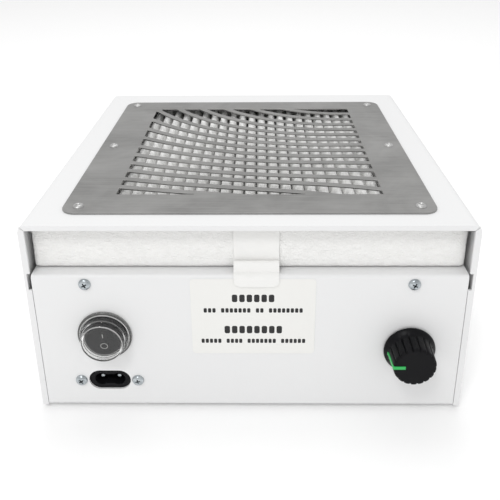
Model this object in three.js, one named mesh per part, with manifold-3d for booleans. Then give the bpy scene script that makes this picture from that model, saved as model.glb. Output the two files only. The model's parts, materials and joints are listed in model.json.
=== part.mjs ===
// Nail dust collector: a folded sheet-metal case with a suction grille on top, a slide-out
// pleated filter cartridge, an axial fan under it, and a control panel on the front.
// Millimetres, +Z up, control panel towards -Y, +X to the right of a person facing the panel.
// The case frame used below has x = 0 and y = 0 at the middle of the case and z = 0 at its
// bottom sheet. The exported group moves it so that the origin is under the middle of the
// whole object, on the surface that the feet stand on.
import * as THREE from 'three';
import { mergeVertices } from 'three/addons/utils/BufferGeometryUtils.js';
import Module from 'manifold-3d';

const wasm = await Module();
wasm.setup();

// ---------------------------------------------------------------- driving dimensions
const CASE_WIDTH = 218;
const CASE_DEPTH = 218;
const CASE_HEIGHT = 105.2;
const SHEET = 1.2;                  // steel sheet of the cover and the chassis
const GAP = 0.3;                    // assembly gap between neighbouring pieces
const BEND_RADIUS = 3.6;            // outer radius of the cover's top bends
const TIGHT_RADIUS = 1.8;           // outer radius of the chassis and shelf bends
const BEND_STEPS = 3;
const JOIN = 0.4;                   // how far two joined bodies run into each other
const ALMOST = 0.01;                // keeps a fully rounded end from meeting itself in one point
const PAST = 1;                     // how far a cutting tool reaches past the faces that it cuts
const SCREW_HOLE = 1.8;             // radius of a clearance hole for an M3 screw

const FRONT = -CASE_DEPTH / 2;      // outer face of the front panel
const REAR = CASE_DEPTH / 2;        // outer face of the rear wall
const SIDE = CASE_WIDTH / 2;        // outer face of a side wall

const LIP_SIDE = 3;                 // side return flange of the cover, seen from the front
const LIP_TOP = 2.6;                // top return flange of the cover, seen from the front
const LEDGE_TOP = 78.5;             // sill of the filter slot
const LEDGE_DEPTH = 14;
const NOTCH = { z0: 70.2, z1: 79.3, inset: 1.6 };
const MITRE = { width: 0.35, length: 3.2, offset: 0.6 };
const COVER_OPENING = { marginX: 5, marginY: 4, corner: 5 };
const COVER_SCREWS = { z: 8, y: 78, shank: 1.5, head: 2.9, length: 8, holeDepth: 6 };
const TRAY = { setback: 4, edgeHeight: 14, edgeFront: 12, edgeRear: 6, rearFlange: 9 };

const GRILLE = { size: 184.8, corner: 7.5, thick: 1.2, y: -4.7 };
const WINDOW = { width: 137.6, depth: 146.5, y: -2.45 };  // the slotted field of the grille
const RIVET = { offset: 84.7, head: 2.8, shank: 1.6, height: 1.1, length: 2.8 };

const FILTER = { x0: -105.6, x1: 105.2, y0: -102.8, y1: 106.2, height: 23.5, wall: 12, corner: 0.8 };
const PLEAT = { pitch: 6.8, height: 19, thick: 2.86, sunk: 2.2 };  // thickness measured upright
const TAB = { x: 3.6, width: 22.2, thick: 0.7, drop: 6, corner: 3, bend: 0.9, clear: 0.35 };

const SHELF = { thick: 1, flange: 12, sideGap: 2 };
const GASKET = { outside: 176, inside: 152, corner: 4 };
const FAN = { size: 120, height: 38, y: -4.7, bore: 57, hub: 23, holes: 52.5, hole: 2.2, blades: 7 };

const PANEL_SCREW = { x: 79.9, z: 73.6 };
const SWITCH = { x: -72.4, z: 44.35 };
const INLET = { x: -72.35, z: 16.05, pitch: 8.6, screws: 29.2 };
const KNOB = { x: 80, z: 36.4, skirt: 12.9, face: 10.3, height: 15, flutes: 18, fluteDepth: 0.8 };
const LABEL = { x: 1.9, z: 54.85, width: 61.2, height: 43.5, corner: 2, thick: 0.2 };
const FOOT = { height: 2.5, radius: 6.5, inset: 19, stem: 2.4, bulb: 3.4, taper: 0.9 };
const SCREW_HEAD = { radius: 3.05, height: 1.7, crown: 0.72, recess: 0.7, cross: [0.75, 2.9] };
const SCREW_SHANK = 1.45;

// ---------------------------------------------------------------- materials
function material(color, roughness, metalness) {
  return new THREE.MeshStandardMaterial({ color, roughness, metalness });
}
const WHITE_PAINT = material(0xe6e7e8, 0.45, 0.0);
const STAINLESS = material(0x9c9c9a, 0.4, 0.9);
const ALUMINIUM = material(0xc8c8c6, 0.35, 0.9);
const ZINC = material(0xb9bbbd, 0.35, 0.9);
const BRASS = material(0xb89a55, 0.35, 0.9);
const FILTER_WHITE = material(0xf3f2ee, 0.95, 0.0);
const PLEAT_WHITE = material(0xe9e8e3, 0.9, 0.0);
const BLACK_PLASTIC = material(0x17181a, 0.5, 0.0);
const KNOB_BLACK = material(0x1b1c1e, 0.6, 0.0);
const GREEN = material(0x2fb04e, 0.5, 0.0);
const CLEAR = material(0xc9cccb, 0.2, 0.0);
const RUBBER = material(0x202020, 0.9, 0.0);
const FOAM = material(0x3a3b3d, 1.0, 0.0);
const PAPER = material(0xf0f0ec, 0.5, 0.0);
const BOARD_GREEN = material(0x2c6b45, 0.6, 0.0);

// ---------------------------------------------------------------- geometry helpers
function toSolid(geometry) {
  const bare = geometry.clone();
  bare.deleteAttribute('normal');
  bare.deleteAttribute('uv');
  const merged = mergeVertices(bare, 1e-4);
  return new wasm.Manifold(new wasm.Mesh({
    numProp: 3,
    vertProperties: new Float32Array(merged.attributes.position.array),
    triVerts: new Uint32Array(merged.index.array),
  }));
}

function toGeometry(solid) {
  const mesh = solid.getMesh();
  const geometry = new THREE.BufferGeometry();
  geometry.setAttribute('position', new THREE.BufferAttribute(mesh.vertProperties, 3));
  geometry.setIndex(new THREE.BufferAttribute(mesh.triVerts, 1));
  return geometry;
}

// Joins the first list of geometries and cuts the second list out of the result.
function combine(joined, cuts = []) {
  let solid = toSolid(joined[0]);
  for (const piece of joined.slice(1)) {
    solid = solid.add(toSolid(piece));
  }
  for (const piece of cuts) {
    solid = solid.subtract(toSolid(piece));
  }
  return toGeometry(solid);
}

function box(x0, x1, y0, y1, z0, z1) {
  const geometry = new THREE.BoxGeometry(x1 - x0, y1 - y0, z1 - z0);
  return geometry.translate((x0 + x1) / 2, (y0 + y1) / 2, (z0 + z1) / 2);
}

// A round rod from one end to the other along the given axis ('x', 'y' or 'z').
function rod(axis, radius, from, to, a, b, segments = 24, endRadius = radius) {
  const geometry = new THREE.CylinderGeometry(endRadius, radius, to - from, segments);
  const middle = (from + to) / 2;
  if (axis === 'x') {
    return geometry.rotateZ(-Math.PI / 2).translate(middle, a, b);
  }
  if (axis === 'y') {
    return geometry.translate(a, middle, b);
  }
  return geometry.rotateX(Math.PI / 2).translate(a, b, middle);
}

// Outlines drawn in (x, y), (x, z) and (y, z), pushed along the third axis.
function alongZ(shape, z0, z1, steps = 8) {
  const options = { depth: z1 - z0, bevelEnabled: false, curveSegments: steps };
  return new THREE.ExtrudeGeometry(shape, options).translate(0, 0, z0);
}

function alongY(shape, y0, y1, steps = 8) {
  const options = { depth: y1 - y0, bevelEnabled: false, curveSegments: steps };
  return new THREE.ExtrudeGeometry(shape, options).rotateX(Math.PI / 2).translate(0, y1, 0);
}

function alongX(shape, x0, x1, steps = 8) {
  const options = { depth: x1 - x0, bevelEnabled: false, curveSegments: steps };
  const turn = new THREE.Matrix4().makeBasis(
    new THREE.Vector3(0, 1, 0), new THREE.Vector3(0, 0, 1), new THREE.Vector3(1, 0, 0));
  return new THREE.ExtrudeGeometry(shape, options).applyMatrix4(turn).translate(x0, 0, 0);
}

function roundedRect(path, cx, cy, width, height, radius) {
  const left = cx - width / 2;
  const right = cx + width / 2;
  const low = cy - height / 2;
  const high = cy + height / 2;
  path.moveTo(left + radius, low);
  path.lineTo(right - radius, low);
  path.absarc(right - radius, low + radius, radius, -Math.PI / 2, 0, false);
  path.lineTo(right, high - radius);
  path.absarc(right - radius, high - radius, radius, 0, Math.PI / 2, false);
  path.lineTo(left + radius, high);
  path.absarc(left + radius, high - radius, radius, Math.PI / 2, Math.PI, false);
  path.lineTo(left, low + radius);
  path.absarc(left + radius, low + radius, radius, Math.PI, Math.PI * 1.5, false);
  return path;
}

function roundedShape(cx, cy, width, height, radius) {
  return roundedRect(new THREE.Shape(), cx, cy, width, height, radius);
}

// Section of a folded sheet. The corners are those of the face on the right of the path, the
// sheet's thickness lies on the left, and the radius is that of the outside of each fold.
function foldedSheet(corners, thickness, radius) {
  const last = corners.length - 1;
  const startDirection = corners[1].clone().sub(corners[0]).normalize();
  const right = [corners[0].clone()];
  const left = [leftOf(corners[0], startDirection, thickness)];
  for (let i = 1; i < last; i += 1) {
    const before = corners[i].clone().sub(corners[i - 1]).normalize();
    const after = corners[i + 1].clone().sub(corners[i]).normalize();
    const side = Math.sign(before.cross(after));
    const turn = Math.acos(THREE.MathUtils.clamp(before.dot(after), -1, 1));
    const rightRadius = side > 0 ? radius : radius - thickness;
    const leftRadius = side > 0 ? radius - thickness : radius;
    const reach = rightRadius * Math.tan(turn / 2);
    const start = corners[i].clone().addScaledVector(before, -reach);
    const centre = leftOf(start, before, side * rightRadius);
    const startAngle = Math.atan2(start.y - centre.y, start.x - centre.x);
    for (let step = 0; step <= BEND_STEPS; step += 1) {
      const angle = startAngle + (side * turn * step) / BEND_STEPS;
      const spoke = new THREE.Vector2(Math.cos(angle), Math.sin(angle));
      right.push(centre.clone().addScaledVector(spoke, rightRadius));
      left.push(centre.clone().addScaledVector(spoke, leftRadius));
    }
  }
  const endDirection = corners[last].clone().sub(corners[last - 1]).normalize();
  right.push(corners[last].clone());
  left.push(leftOf(corners[last], endDirection, thickness));
  return new THREE.Shape(right.concat(left.reverse()));
}

function leftOf(point, direction, distance) {
  return new THREE.Vector2(
    point.x - direction.y * distance,
    point.y + direction.x * distance);
}

// A solid of revolution about a line along Y through (x, z). Each point is (radius, reach),
// with the reach measured outwards from the face of the front panel.
function turnedOnPanel(points, x, z, segments = 28) {
  const profile = points.map(([radius, reach]) => new THREE.Vector2(radius, -reach));
  const geometry = new THREE.LatheGeometry(profile, segments);
  return facingOut(geometry).translate(x, FRONT, z);
}

// Turns a closed mesh right side out when its triangles wind inwards.
function facingOut(geometry) {
  const bare = geometry.clone();
  bare.deleteAttribute('normal');
  bare.deleteAttribute('uv');
  const merged = mergeVertices(bare, 1e-4);
  const corner = [new THREE.Vector3(), new THREE.Vector3(), new THREE.Vector3()];
  const index = merged.index.array;
  const kept = [];
  let volume = 0;
  for (let i = 0; i < index.length; i += 3) {
    const ids = [index[i], index[i + 1], index[i + 2]];
    if (ids[0] === ids[1] || ids[1] === ids[2] || ids[2] === ids[0]) {
      continue;
    }
    ids.forEach((id, k) => corner[k].fromBufferAttribute(merged.attributes.position, id));
    volume += corner[0].dot(corner[1].clone().cross(corner[2]));
    kept.push(ids);
  }
  const ordered = kept.map(([a, b, c]) => (volume < 0 ? [a, c, b] : [a, b, c]));
  merged.setIndex(ordered.flat());
  return merged;
}

// ---------------------------------------------------------------- assembly
const assembly = new THREE.Group();

function addNode(name, geometry, look, parent = assembly) {
  const mesh = new THREE.Mesh(geometry, look);
  mesh.name = name;
  parent.add(mesh);
  return mesh;
}

// ---------------------------------------------------------------- cover
function grilleRivetPlaces() {
  const places = [];
  for (const x of [-RIVET.offset, RIVET.offset]) {
    for (const y of [-RIVET.offset, 0, RIVET.offset]) {
      places.push([x, GRILLE.y + y]);
    }
  }
  return places;
}

function coverScrewPlaces() {
  const places = [];
  for (const side of [-1, 1]) {
    for (const y of [-COVER_SCREWS.y, COVER_SCREWS.y]) {
      places.push([side, y]);
    }
  }
  return places;
}

// Countersunk screw from the outer face of a side wall inwards, grown by a clearance.
function coverScrew(side, y, clearance, length) {
  const outside = side * SIDE;
  const neck = outside - side * SHEET;
  const head = side > 0
    ? rod('x', COVER_SCREWS.shank + clearance, neck, outside, y, COVER_SCREWS.z, 12,
      COVER_SCREWS.head + clearance)
    : rod('x', COVER_SCREWS.head + clearance, outside, neck, y, COVER_SCREWS.z, 12,
      COVER_SCREWS.shank + clearance);
  const tip = outside - side * length;
  const radius = COVER_SCREWS.shank + clearance;
  const shank = rod('x', radius, Math.min(tip, neck), Math.max(tip, neck), y, COVER_SCREWS.z, 12);
  return [head, shank];
}

function coverGeometry() {
  const section = foldedSheet([
    new THREE.Vector2(SIDE, 0),
    new THREE.Vector2(SIDE, CASE_HEIGHT),
    new THREE.Vector2(-SIDE, CASE_HEIGHT),
    new THREE.Vector2(-SIDE, 0),
  ], SHEET, BEND_RADIUS);
  const inside = SIDE - SHEET;
  const mouth = SIDE - LIP_SIDE;
  const underside = CASE_HEIGHT - SHEET;
  const lipLow = CASE_HEIGHT - LIP_TOP;
  const lipBack = FRONT + SHEET;
  const pieces = [
    alongY(section, FRONT, REAR),
    box(-inside - JOIN, inside + JOIN, FRONT, lipBack, lipLow, underside + JOIN),
  ];
  const opening = roundedShape(0, WINDOW.y, WINDOW.width + 2 * COVER_OPENING.marginX,
    WINDOW.depth + 2 * COVER_OPENING.marginY, COVER_OPENING.corner);
  const cuts = [alongZ(opening, underside - PAST, CASE_HEIGHT + PAST, 2)];
  for (const side of [-1, 1]) {
    const x0 = Math.min(side * mouth, side * (inside + JOIN));
    const x1 = Math.max(side * mouth, side * (inside + JOIN));
    pieces.push(box(x0, x1, FRONT, lipBack, 0, underside));
    const notchIn = side * (mouth - PAST);
    const notchOut = side * (mouth + NOTCH.inset);
    cuts.push(box(Math.min(notchIn, notchOut), Math.max(notchIn, notchOut),
      FRONT - PAST, lipBack + PAST, NOTCH.z0, NOTCH.z1));
    // the open mitre where the top and the side flanges meet
    const slit = new THREE.BoxGeometry(MITRE.width, 2 * (SHEET + PAST), MITRE.length);
    slit.rotateY(side * Math.PI / 4);
    slit.translate(side * (mouth + MITRE.offset), FRONT, lipLow + MITRE.offset);
    cuts.push(slit);
  }
  for (const [x, y] of grilleRivetPlaces()) {
    cuts.push(rod('z', RIVET.shank + GAP, underside - PAST, CASE_HEIGHT + PAST, x, y, 12));
  }
  for (const [side, y] of coverScrewPlaces()) {
    cuts.push(...coverScrew(side, y, GAP / 2, COVER_SCREWS.holeDepth));
  }
  return combine(pieces, cuts);
}

addNode('top_cover', coverGeometry(), WHITE_PAINT);
coverScrewPlaces().forEach(([side, y], i) => {
  addNode(`cover_screw_${i + 1}`, combine(coverScrew(side, y, 0, COVER_SCREWS.length)), ZINC);
});

// ---------------------------------------------------------------- chassis
const VENT = { count: 13, pitch: 12, width: 5, low: 14, high: 58 };
const INLET_CUT = { width: 21.6, height: 11.8 };
const SWITCH_HOLE = 10.1;
const POT_HOLE = 3.8;
const PANEL_HALF = SIDE - LIP_SIDE - GAP;
const TRAY_HALF = SIDE - SHEET - GAP;

function chassisGeometry() {
  const flangeTop = CASE_HEIGHT - SHEET - GAP;
  const section = foldedSheet([
    new THREE.Vector2(FRONT + LEDGE_DEPTH, LEDGE_TOP),
    new THREE.Vector2(FRONT, LEDGE_TOP),
    new THREE.Vector2(FRONT, 0),
    new THREE.Vector2(REAR, 0),
    new THREE.Vector2(REAR, flangeTop),
    new THREE.Vector2(REAR - TRAY.rearFlange, flangeTop),
  ], SHEET, TIGHT_RADIUS);
  const pieces = [alongX(section, -PANEL_HALF, PANEL_HALF)];
  const cuts = [];
  for (const side of [-1, 1]) {
    const inner = side * (PANEL_HALF - JOIN);
    const outer = side * TRAY_HALF;
    const x0 = Math.min(inner, outer);
    const x1 = Math.max(inner, outer);
    const upright = outer - side * SHEET;
    pieces.push(box(x0, x1, FRONT + TRAY.setback, REAR - TRAY.setback, 0, SHEET));
    pieces.push(box(Math.min(upright, outer), Math.max(upright, outer),
      FRONT + TRAY.edgeFront, REAR - TRAY.edgeRear, SHEET - JOIN, TRAY.edgeHeight));
    pieces.push(box(x0, x1, REAR - SHEET, REAR, TRAY.setback, flangeTop - TRAY.setback / 2));
  }
  for (const [side, y] of coverScrewPlaces()) {
    const middle = side * (TRAY_HALF - SHEET / 2);
    const reach = SHEET / 2 + PAST;
    cuts.push(rod('x', COVER_SCREWS.shank + GAP, middle - reach, middle + reach,
      y, COVER_SCREWS.z, 8));
  }
  for (let i = 0; i < VENT.count; i += 1) {
    const x = (i - (VENT.count - 1) / 2) * VENT.pitch;
    const shape = roundedShape(x, (VENT.low + VENT.high) / 2, VENT.width,
      VENT.high - VENT.low, VENT.width / 2 - ALMOST);
    cuts.push(alongY(shape, REAR - SHEET - PAST, REAR + PAST, 1));
  }
  const panelFrom = FRONT - PAST;
  const panelTo = FRONT + SHEET + PAST;
  for (const x of [-PANEL_SCREW.x, PANEL_SCREW.x]) {
    cuts.push(rod('y', SCREW_HOLE, panelFrom, panelTo, x, PANEL_SCREW.z, 12));
    cuts.push(rod('y', SCREW_HOLE, REAR - SHEET - PAST, REAR + PAST, x, PANEL_SCREW.z, 12));
  }
  cuts.push(rod('y', SWITCH_HOLE, panelFrom, panelTo, SWITCH.x, SWITCH.z, 32));
  cuts.push(rod('y', POT_HOLE, panelFrom, panelTo, KNOB.x, KNOB.z, 16));
  const inletCut = roundedShape(INLET.x, INLET.z, INLET_CUT.width, INLET_CUT.height,
    INLET_CUT.height / 2 - ALMOST);
  cuts.push(alongY(inletCut, panelFrom, panelTo, 3));
  for (const side of [-1, 1]) {
    const x = INLET.x + side * INLET.screws / 2;
    cuts.push(rod('y', SCREW_HOLE, panelFrom, panelTo, x, INLET.z, 12));
  }
  for (const [x, y] of footPlaces()) {
    cuts.push(rod('z', FOOT.stem, -PAST, SHEET + PAST, x, y, 8));
  }
  return combine(pieces, cuts);
}

function footPlaces() {
  const places = [];
  for (const x of [-SIDE + FOOT.inset, SIDE - FOOT.inset]) {
    for (const y of [FRONT + FOOT.inset, REAR - FOOT.inset]) {
      places.push([x, y]);
    }
  }
  return places;
}

addNode('chassis', chassisGeometry(), WHITE_PAINT);

footPlaces().forEach(([x, y], i) => {
  const pad = rod('z', FOOT.radius - FOOT.taper, -FOOT.height, 0, x, y, 20, FOOT.radius);
  const stem = rod('z', FOOT.stem - JOIN, -JOIN, SHEET + JOIN, x, y, 8);
  const bulb = rod('z', FOOT.bulb, SHEET + 0.1, SHEET + 1.6, x, y, 8, FOOT.stem - JOIN);
  addNode(`foot_${i + 1}`, combine([pad, stem, bulb]), RUBBER);
});

// ---------------------------------------------------------------- screws
// Pan-head screw pointing along Y. The sign is +1 where the head faces the front.
function panScrew(x, z, seat, sign, length) {
  const headEnd = seat - sign * SCREW_HEAD.height;
  const headLow = Math.min(seat, headEnd);
  const headHigh = Math.max(seat, headEnd);
  const dome = SCREW_HEAD.radius * SCREW_HEAD.crown;
  const head = sign > 0
    ? rod('y', dome, headLow, headHigh, x, z, 16, SCREW_HEAD.radius)
    : rod('y', SCREW_HEAD.radius, headLow, headHigh, x, z, 16, dome);
  const tip = seat + sign * length;
  const neck = seat - sign * JOIN;
  const shank = rod('y', SCREW_SHANK, Math.min(tip, neck), Math.max(tip, neck), x, z, 8);
  const floor = headEnd + sign * SCREW_HEAD.height * SCREW_HEAD.recess;
  const y0 = Math.min(headEnd - sign * PAST, floor);
  const y1 = Math.max(headEnd - sign * PAST, floor);
  const [short, long] = SCREW_HEAD.cross;
  const cross = [
    box(x - long / 2, x + long / 2, y0, y1, z - short / 2, z + short / 2),
    box(x - short / 2, x + short / 2, y0, y1, z - long / 2, z + long / 2),
  ];
  return combine([head, shank], cross);
}

[-PANEL_SCREW.x, PANEL_SCREW.x].forEach((x, i) => {
  addNode(`panel_screw_${i + 1}`, panScrew(x, PANEL_SCREW.z, FRONT, 1, 8), ZINC);
  addNode(`rear_screw_${i + 1}`, panScrew(x, PANEL_SCREW.z, REAR, -1, 8), ZINC);
});

// ---------------------------------------------------------------- suction grille
// The bars follow a slope field across the window: steep at the far left corner, flat at the
// right, and tilting down again in the near right corner. u runs from the left edge of the
// window to the right one, and v from its far edge towards the near one. Both are counted in
// widths of the window.
const WAVE = { steep: 1.546, fade: 1.967, lean: 0.283, bow: 1.318, tail: 0.265, power: 7 };
const BAR = { width: 4.1, count: 13, pitch: 9.4, spread: 0.11, middle: 7, samples: 13 };
const LOW_BARS = { count: 2, pitch: 0.077, start: 0.93 };

function barSlope(u, v) {
  const flat = 1 - WAVE.lean * v;
  const left = Math.max(0, 1 - (Math.max(u, 0) / flat) ** WAVE.bow);
  const fall = WAVE.steep * Math.exp(-WAVE.fade * v) * left;
  return fall + WAVE.tail * u * u * Math.max(v, 0) ** WAVE.power;
}

// The near edge of one bar as (u, v) points, from a starting point on a side of the window.
function barLine(u0, v0, direction) {
  const step = direction / BAR.samples;
  const points = [[u0 - step, v0 - barSlope(u0, v0) * step], [u0, v0]];
  let u = u0;
  let v = v0;
  for (let i = 0; i < BAR.samples + 1 && v > -0.25 && v < 1.25; i += 1) {
    const half = barSlope(u, v) * step / 2;
    v += barSlope(u + step / 2, v + half) * step;
    u += step;
    points.push([u, v]);
  }
  return points;
}

function barStarts() {
  const starts = [];
  let v = 0;
  for (let k = 1; k <= BAR.count; k += 1) {
    v += (BAR.pitch + BAR.spread * (k - BAR.middle) ** 2) / WINDOW.width;
    starts.push([1, v, -1]);
  }
  for (let k = 0; k < LOW_BARS.count; k += 1) {
    starts.push([0, LOW_BARS.start + k * LOW_BARS.pitch, 1]);
  }
  return starts;
}

function barShape(line) {
  const near = line.map(([u, v]) => new THREE.Vector2(
    (u - 0.5) * WINDOW.width, WINDOW.y + WINDOW.depth / 2 - v * WINDOW.width));
  if (near[0].x > near[near.length - 1].x) {
    near.reverse();
  }
  const far = near.map((point, i) => {
    const a = near[Math.max(i - 1, 0)];
    const b = near[Math.min(i + 1, near.length - 1)];
    const direction = b.clone().sub(a).normalize();
    return leftOf(point, direction, BAR.width);
  });
  return new THREE.Shape(near.concat(far.reverse()));
}

function grilleGeometry() {
  const low = CASE_HEIGHT;
  const high = CASE_HEIGHT + GRILLE.thick;
  const plate = alongZ(roundedShape(0, GRILLE.y, GRILLE.size, GRILLE.size, GRILLE.corner),
    low, high, 3);
  const halfX = WINDOW.width / 2;
  const halfY = WINDOW.depth / 2;
  let slots = toSolid(
    box(-halfX, halfX, WINDOW.y - halfY, WINDOW.y + halfY, low - PAST, high + PAST));
  for (const [u, v, direction] of barStarts()) {
    const bar = alongZ(barShape(barLine(u, v, direction)), low - 2 * PAST, high + 2 * PAST);
    slots = slots.subtract(toSolid(bar));
  }
  let solid = toSolid(plate).subtract(slots);
  for (const [x, y] of grilleRivetPlaces()) {
    const hole = rod('z', RIVET.shank + GAP, low - PAST, high + PAST, x, y, 12);
    solid = solid.subtract(toSolid(hole));
  }
  return toGeometry(solid);
}

addNode('grille_plate', grilleGeometry(), STAINLESS);

grilleRivetPlaces().forEach(([x, y], i) => {
  const seat = CASE_HEIGHT + GRILLE.thick;
  const dome = [
    [0, seat + RIVET.height], [RIVET.head * 0.45, seat + RIVET.height * 0.93],
    [RIVET.head * 0.8, seat + RIVET.height * 0.6], [RIVET.head, seat], [RIVET.shank, seat],
    [RIVET.shank, seat - RIVET.length], [0, seat - RIVET.length],
  ];
  const profile = dome.map(([radius, z]) => new THREE.Vector2(radius, z));
  const rivet = facingOut(new THREE.LatheGeometry(profile, 14)).rotateX(Math.PI / 2);
  addNode(`grille_rivet_${i + 1}`, rivet.translate(x, y, 0), ALUMINIUM);
});

// ---------------------------------------------------------------- filter shelf and gasket
const SHELF_TOP = LEDGE_TOP - SHEET - GAP;
const SHELF_UNDER = SHELF_TOP - SHELF.thick;
const FAN_TOP = SHELF_UNDER - GAP;
const FAN_LOW = FAN_TOP - FAN.height;

function fanHolePlaces() {
  const places = [];
  for (const x of [-FAN.holes, FAN.holes]) {
    for (const y of [-FAN.holes, FAN.holes]) {
      places.push([x, FAN.y + y]);
    }
  }
  return places;
}

function shelfGeometry() {
  const front = FRONT + SHEET + GAP;
  const rear = REAR - SHEET - GAP;
  const section = foldedSheet([
    new THREE.Vector2(rear, SHELF_TOP - SHELF.flange),
    new THREE.Vector2(rear, SHELF_TOP),
    new THREE.Vector2(front, SHELF_TOP),
    new THREE.Vector2(front, SHELF_TOP - SHELF.flange),
  ], SHELF.thick, TIGHT_RADIUS);
  const half = SIDE - SHEET - SHELF.sideGap;
  const from = SHELF_UNDER - PAST;
  const to = SHELF_TOP + PAST;
  const cuts = [rod('z', FAN.bore + 1, from, to, 0, FAN.y, 48)];
  for (const [x, y] of fanHolePlaces()) {
    cuts.push(rod('z', FAN.hole, from, to, x, y, 8));
  }
  for (const x of [-PANEL_SCREW.x, PANEL_SCREW.x]) {
    cuts.push(rod('y', SCREW_HOLE, front - PAST, front + SHELF.thick + PAST, x, PANEL_SCREW.z, 12));
    cuts.push(rod('y', SCREW_HOLE, rear - SHELF.thick - PAST, rear + PAST, x, PANEL_SCREW.z, 12));
  }
  return combine([alongX(section, -half, half)], cuts);
}

addNode('filter_shelf', shelfGeometry(), WHITE_PAINT);

function gasketGeometry() {
  const { outside, inside, corner } = GASKET;
  const outer = roundedShape(0, FAN.y, outside, outside, corner);
  outer.holes.push(roundedRect(new THREE.Path(), 0, FAN.y, inside, inside, corner));
  return alongZ(outer, SHELF_TOP, LEDGE_TOP - 0.2, 3);
}

addNode('shelf_gasket', gasketGeometry(), FOAM);

// ---------------------------------------------------------------- filter cartridge
const FILTER_LOW = LEDGE_TOP + GAP;
const FILTER_HIGH = FILTER_LOW + FILTER.height;

function filterFrameGeometry() {
  const cx = (FILTER.x0 + FILTER.x1) / 2;
  const cy = (FILTER.y0 + FILTER.y1) / 2;
  const width = FILTER.x1 - FILTER.x0;
  const depth = FILTER.y1 - FILTER.y0;
  const outer = roundedShape(cx, cy, width, depth, FILTER.corner);
  const inner = new THREE.Path();
  roundedRect(inner, cx, cy, width - 2 * FILTER.wall, depth - 2 * FILTER.wall, FILTER.corner);
  outer.holes.push(inner);
  return alongZ(outer, FILTER_LOW, FILTER_HIGH, 2);
}

function pleatGeometry() {
  const cx = (FILTER.x0 + FILTER.x1) / 2;
  const width = FILTER.x1 - FILTER.x0 - 2 * FILTER.wall - 2 * GAP;
  const count = Math.round(width / PLEAT.pitch);
  const half = width / count / 2;
  const low = FILTER_HIGH - PLEAT.sunk - PLEAT.height;
  const rise = PLEAT.height - PLEAT.thick;
  const lower = [];
  const upper = [];
  for (let i = 0; i <= 2 * count; i += 1) {
    const x = cx - width / 2 + i * half;
    const z = low + (i % 2) * rise;
    lower.push(new THREE.Vector2(x, z));
    upper.push(new THREE.Vector2(x, z + PLEAT.thick));
  }
  const shape = new THREE.Shape(lower.concat(upper.reverse()));
  return alongY(shape, FILTER.y0 + FILTER.wall + GAP, FILTER.y1 - FILTER.wall - GAP);
}

function tabGeometry() {
  const face = FILTER.y0 - 0.05;
  const hang = FRONT - TAB.clear;
  const sill = LEDGE_TOP + 0.1;
  const low = LEDGE_TOP - TAB.drop;
  const section = foldedSheet([
    new THREE.Vector2(hang, low),
    new THREE.Vector2(hang, sill),
    new THREE.Vector2(face, sill),
    new THREE.Vector2(face, FILTER_HIGH - GAP),
  ], TAB.thick, TAB.bend);
  const strip = alongX(section, TAB.x - TAB.width / 2, TAB.x + TAB.width / 2);
  const height = FILTER_HIGH - low + TAB.corner;
  const outline = roundedShape(TAB.x, low + height / 2, TAB.width, height, TAB.corner);
  const trim = alongY(outline, FRONT - 4, FILTER.y0 + 1, 4);
  return toGeometry(toSolid(strip).intersect(toSolid(trim)));
}

addNode('filter_frame', filterFrameGeometry(), FILTER_WHITE);
addNode('filter_pleats', pleatGeometry(), PLEAT_WHITE);
addNode('filter_tab', tabGeometry(), FILTER_WHITE);

// ---------------------------------------------------------------- power switch
const SWITCH_BODY = { bezel: 11.4, lip: 2, bore: 9.75, pocket: 6.5, barrel: 9.8, depth: 16 };
const ROCKER = { pivot: 1.5, face: 3.3, radius: 9.35, swing: 9.4, back: 3.2, tilt: 10 };
const BOOT = { flange: 13.6, flangeReach: 1.6, rim: 11.2, reach: 8.2, wall: 0.8, seat: 11.75 };

function switchHousingGeometry() {
  const { bezel, lip, bore, pocket, barrel, depth } = SWITCH_BODY;
  return turnedOnPanel([
    [0, -pocket], [bore, -pocket], [bore, lip], [bezel - 0.6, lip], [bezel, lip - 0.7],
    [bezel, 0], [barrel, 0], [barrel, -depth], [0, -depth],
  ], SWITCH.x, SWITCH.z);
}

const BLADE = { thick: 0.8, width: 4.8, length: 8, offset: 4 };

function bladeGeometry(x, z, from, to, width) {
  return box(x - BLADE.thick / 2, x + BLADE.thick / 2, from, to, z - width / 2, z + width / 2);
}

// The rocker is drawn level about its pivot, then turned so that its lower half is pressed in.
function rockerGeometry() {
  const top = Math.asin(ROCKER.face / ROCKER.swing);
  const low = Math.asin(ROCKER.back / ROCKER.swing);
  const section = new THREE.Shape();
  section.absarc(0, 0, ROCKER.swing, -low, top, false);
  section.quadraticCurveTo(ROCKER.face * 0.5, ROCKER.face - 0.9,
    -ROCKER.swing * Math.cos(top), ROCKER.face);
  section.absarc(0, 0, ROCKER.swing, Math.PI - top, Math.PI + low, false);
  const turned = new THREE.Matrix4().makeBasis(
    new THREE.Vector3(0, 0, 1), new THREE.Vector3(0, -1, 0), new THREE.Vector3(1, 0, 0));
  const options = { depth: 2 * ROCKER.radius, bevelEnabled: false, curveSegments: 6 };
  const slab = new THREE.ExtrudeGeometry(section, options).applyMatrix4(turned);
  slab.translate(-ROCKER.radius, 0, 0);
  const round = rod('y', ROCKER.radius, -8, 8, 0, 0, 32);
  return toGeometry(toSolid(slab).intersect(toSolid(round)));
}

addNode('switch_housing', switchHousingGeometry(), BLACK_PLASTIC);

const rockerGroup = new THREE.Group();
rockerGroup.position.set(SWITCH.x, FRONT - ROCKER.pivot, SWITCH.z);
rockerGroup.rotation.x = THREE.MathUtils.degToRad(ROCKER.tilt);
assembly.add(rockerGroup);
addNode('switch_rocker', rockerGeometry(), BLACK_PLASTIC, rockerGroup);

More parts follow.
